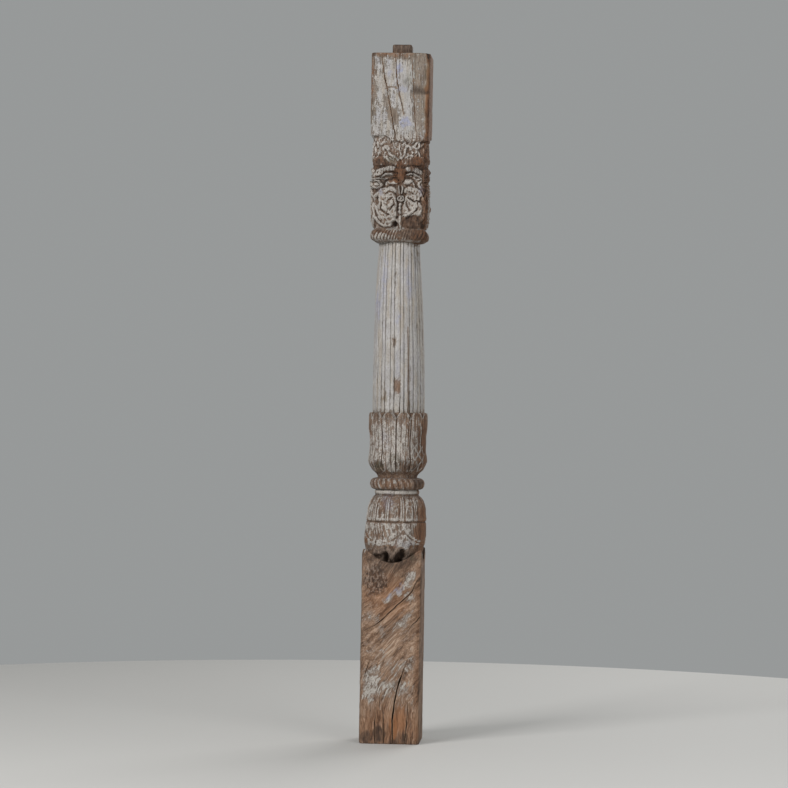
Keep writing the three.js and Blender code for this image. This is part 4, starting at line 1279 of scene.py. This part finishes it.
# Timber: from dark through brown to tan along the streaks, redder where it is marked warm
DARK_BROWN = (0.050, 0.027, 0.017)
BROWN = (0.235, 0.142, 0.090)
TAN = (0.47, 0.345, 0.250)
DARK_RED_BROWN = (0.075, 0.028, 0.011)
RED_BROWN = (0.275, 0.120, 0.050)
DARK_GREY = (0.085, 0.066, 0.050)
GREY = (0.27, 0.225, 0.18)
PITTED = (0.085, 0.043, 0.027)
# Pale rubbed wood, also laid on ridges as a painted highlight
RUBBED_AND_HIGHLIGHT = (0.41, 0.32, 0.26)
shade = reckon("MULTIPLY_ADD", streak, 0.55, times(fine_streak, 0.45))
shade = reckon("MULTIPLY_ADD", broad, 0.5, reckon("SUBTRACT", shade, 0.25))
wood = blend(between(shade, 0.36, 0.52), DARK_BROWN, BROWN)
wood = blend(between(shade, 0.52, 0.65), wood, TAN)
warm_wood = blend(between(shade, 0.30, 0.60), DARK_RED_BROWN, RED_BROWN)
wood = blend(times(warmth, 0.95), wood, warm_wood)
wood = blend(weathered, wood, blend(between(shade, 0.32, 0.62), DARK_GREY, GREY))
wood = blend(times(broken_up, 0.55), wood, PITTED)
# Raised places are rubbed pale and given painted highlights, most where the surface is speckled and not warm
raised = between(hollow_share, 0.0, -0.28)
raised = times(raised, reckon("MULTIPLY_ADD", warmth, -0.28, 0.28))
speckled_more = reckon("MULTIPLY_ADD", broken_up, 1.6, 1.0)
raised = reckon("MULTIPLY", raised, speckled_more, clamp=True)
wood = blend(raised, wood, RUBBED_AND_HIGHLIGHT)

# A thin wash of old paint that the streaks show through
DARK_WASH = (0.15, 0.125, 0.105)
PALE_WASH = (0.33, 0.29, 0.255)
wash = blend(between(streak, 0.32, 0.66), DARK_WASH, PALE_WASH)
thin = nudged(nudged(kept, cloud, 0.7), streak, 1.1)
thin = reckon("MULTIPLY_ADD", hollow_share, -0.5, thin)
thin = times(between(thin, 0.12, 0.72, 0.0, 0.85), between(kept, 0.0, 0.15))
thin = times(thin, reckon("MULTIPLY_ADD", broken_up, -0.6, 1.0))
colour = blend(thin, wood, wash)

# Thicker paint: white, greyer in clouds, with brown and lilac tints, dark streaks and crumbs
GREY_WHITE = (0.33, 0.325, 0.32)
WHITE = (0.45, 0.44, 0.43)
BROWN_TINT = (0.35, 0.30, 0.24)
LILAC_TINT = (0.35, 0.35, 0.39)
CREAM = (0.48, 0.44, 0.39)
CLEAN_WHITE = (0.60, 0.56, 0.52)
DARK_STREAK = (0.215, 0.195, 0.18)
DARK_CRUMB = (0.26, 0.235, 0.21)
BLUE = (0.27, 0.285, 0.40)
white = blend(between(cloud, 0.35, 0.65), GREY_WHITE, WHITE)
white = blend(between(tint, 0.48, 0.61, 0.0, 0.85), white, BROWN_TINT)
white = blend(between(tint, 0.46, 0.34, 0.0, 0.7), white, LILAC_TINT)
white = blend(weathered, CREAM, white)
white = blend(times(broken_up, 0.6), white, CLEAN_WHITE)
white = blend(between(fine_streak, 0.60, 0.42, 0.0, 0.5), white, DARK_STREAK)
white = blend(between(crumb, 0.36, 0.52, 0.45, 0.0), white, DARK_CRUMB)

# Where it holds: the share kept, broken up by flakes, crumbs and streaks, and less in hollows
hold = nudged(times(hollow_share, -1.3), flake, 2.2)
hold = nudged(nudged(hold, crumb, 0.8), streak, 1.3)
hold = reckon("MULTIPLY_ADD", hold, reckon("ADD", broken_up, 0.75), kept)
painted = times(between(hold, 0.48, 0.60), between(kept, 0.04, 0.16))
colour = blend(painted, colour, white)
blue_edge = times(attribute("blue"), between(flake, 0.36, 0.56))
colour = blend(times(blue_edge, 0.7), colour, BLUE)

# Dirt and painted shade in the hollows, stains and moss
DIRT_AND_SHADE = (0.035, 0.024, 0.018)
STAIN = (0.032, 0.021, 0.016)
SPECK = (0.070, 0.050, 0.038)
MOSS = (0.13, 0.13, 0.075)
# Darker by how far a point lies below its surroundings: dirt, and painted shade in the recesses
dirt_and_shade = between(hollow_share, 0.10, 0.72, 0.0, 0.9)
dirt_and_shade = times(dirt_and_shade, between(uneven, 0.36, 0.60, 0.35, 1.0))
colour = blend(dirt_and_shade, colour, DIRT_AND_SHADE)
stain = between(mottle(grain, (160, 160, 30)), 0.30, 0.60, 0.5, 1.0)
stain = times(attribute("dark"), stain)
gaps = times(broken_up, between(flake, 0.54, 0.42, 0.0, 0.75))
stain = times(stain, reckon("SUBTRACT", 1.0, gaps))
colour = blend(times(stain, 0.88), colour, STAIN)
speck = between(mottle(place, (330, 330, 270), 2.0, 0.5), 0.50, 0.62)
colour = blend(times(times(broken_up, speck), 0.85), colour, SPECK)
green = times(attribute("moss"), between(crumb, 0.40, 0.60))
colour = blend(times(green, 0.5), colour, MOSS)

# The paint stands a little proud of the wood, and is a little less rough
BUMP_HEIGHT = 0.0016
texture = reckon("MULTIPLY_ADD", painted, 0.5, times(fine_streak, 0.6))
texture = reckon("MULTIPLY_ADD", crumb, 0.5, texture)
bump = put("Bump", {"Height": texture, "Distance": BUMP_HEIGHT, "Strength": 0.9})
shader = put("BsdfPrincipled", {
    "Base Color": colour,
    "Roughness": between(painted, 0.0, 1.0, 0.86, 0.72),
    "Normal": bump.outputs[0],
    "Specular IOR Level": 0.25,
})
put("OutputMaterial", {"Surface": shader.outputs[0]})
cracked.materials.clear()
cracked.materials.append(finish)

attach(pillar, "root")
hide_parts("pillar")

# The floor and the light
# A plain pale floor under a plain grey studio, with a large soft light from the left.

FLOOR_RADIUS = 2.4  # metres, as for the lamps and the camera
FLOOR_CORNERS = 96
rim = np.linspace(0, TURN, FLOOR_CORNERS + 1)[:-1]
floor_points = np.stack([FLOOR_RADIUS * np.cos(rim), FLOOR_RADIUS * np.sin(rim), 0 * rim], 1)
floor = stood("floor", new_mesh("floor", floor_points.tolist(), [list(range(FLOOR_CORNERS))]))
pale = bpy.data.materials.new("pale_floor")
pale.use_nodes = True
surface = pale.node_tree.nodes["Principled BSDF"].inputs
surface["Base Color"].default_value = (0.50, 0.49, 0.47, 1)
surface["Roughness"].default_value = 0.7
floor.data.materials.append(pale)

world = bpy.data.worlds.new("studio")
world.use_nodes = True
background = world.node_tree.nodes["Background"].inputs
background["Color"].default_value = (0.31, 0.32, 0.32, 1)
background["Strength"].default_value = 1.0
bpy.context.scene.world = world


def soft_light(name, place, size, power, aim=(0, 0, 0.95)):
    """A square area light that looks at a point of the pillar: it turns by the arctangent of the
    way across, and tips by that of the level distance over the drop."""
    lamp = bpy.data.lights.new(name, "AREA")
    lamp.shape = "SQUARE"
    lamp.size = size
    lamp.energy = power
    holder = stood(name, lamp)
    holder.location = place
    direction = np.array(aim) - np.array(place)
    yaw = np.arctan2(direction[0], -direction[1])
    tip = np.arctan2(np.hypot(direction[0], direction[1]), -direction[2])
    holder.rotation_euler = (tip, 0, yaw + np.pi)


soft_light("key", (-2.4, -3.4, 3.0), 1.6, 165)
soft_light("fill", (2.6, -3.6, 1.6), 2.4, 75)
soft_light("back", (1.5, 3.0, 2.6), 2.0, 60)

# The camera
# It stands eight metres off, a little to the right, level with the middle of the pillar, and
# leans by one degree.

DISTANCE = 8.0
VIEW_TURN = np.radians(4)
ROLL = np.radians(0.985)
PIXEL = 2.7  # millimetres of the pillar for each pixel of the photograph
PICTURE_WIDE = 788
AIM_HEIGHT = 0.941
AIM_LEFT = 0.007
NEARER = 0.04  # the carved face stands nearer than the middle
camera = bpy.data.cameras.new("camera")
camera.sensor_width = 36
camera.lens = camera.sensor_width * (DISTANCE - NEARER) / (PICTURE_WIDE * PIXEL * MM)
viewer = stood("camera", camera)
aim = np.array([foot_axis * MM - AIM_LEFT * np.cos(VIEW_TURN), -AIM_LEFT * np.sin(VIEW_TURN), AIM_HEIGHT])
viewer.location = aim + DISTANCE * np.array([np.sin(VIEW_TURN), -np.cos(VIEW_TURN), 0])
viewer.rotation_mode = "XYZ"
viewer.rotation_euler = (np.pi / 2, -ROLL, VIEW_TURN)
bpy.context.scene.camera = viewer
bpy.context.scene.view_settings.view_transform = "Standard"
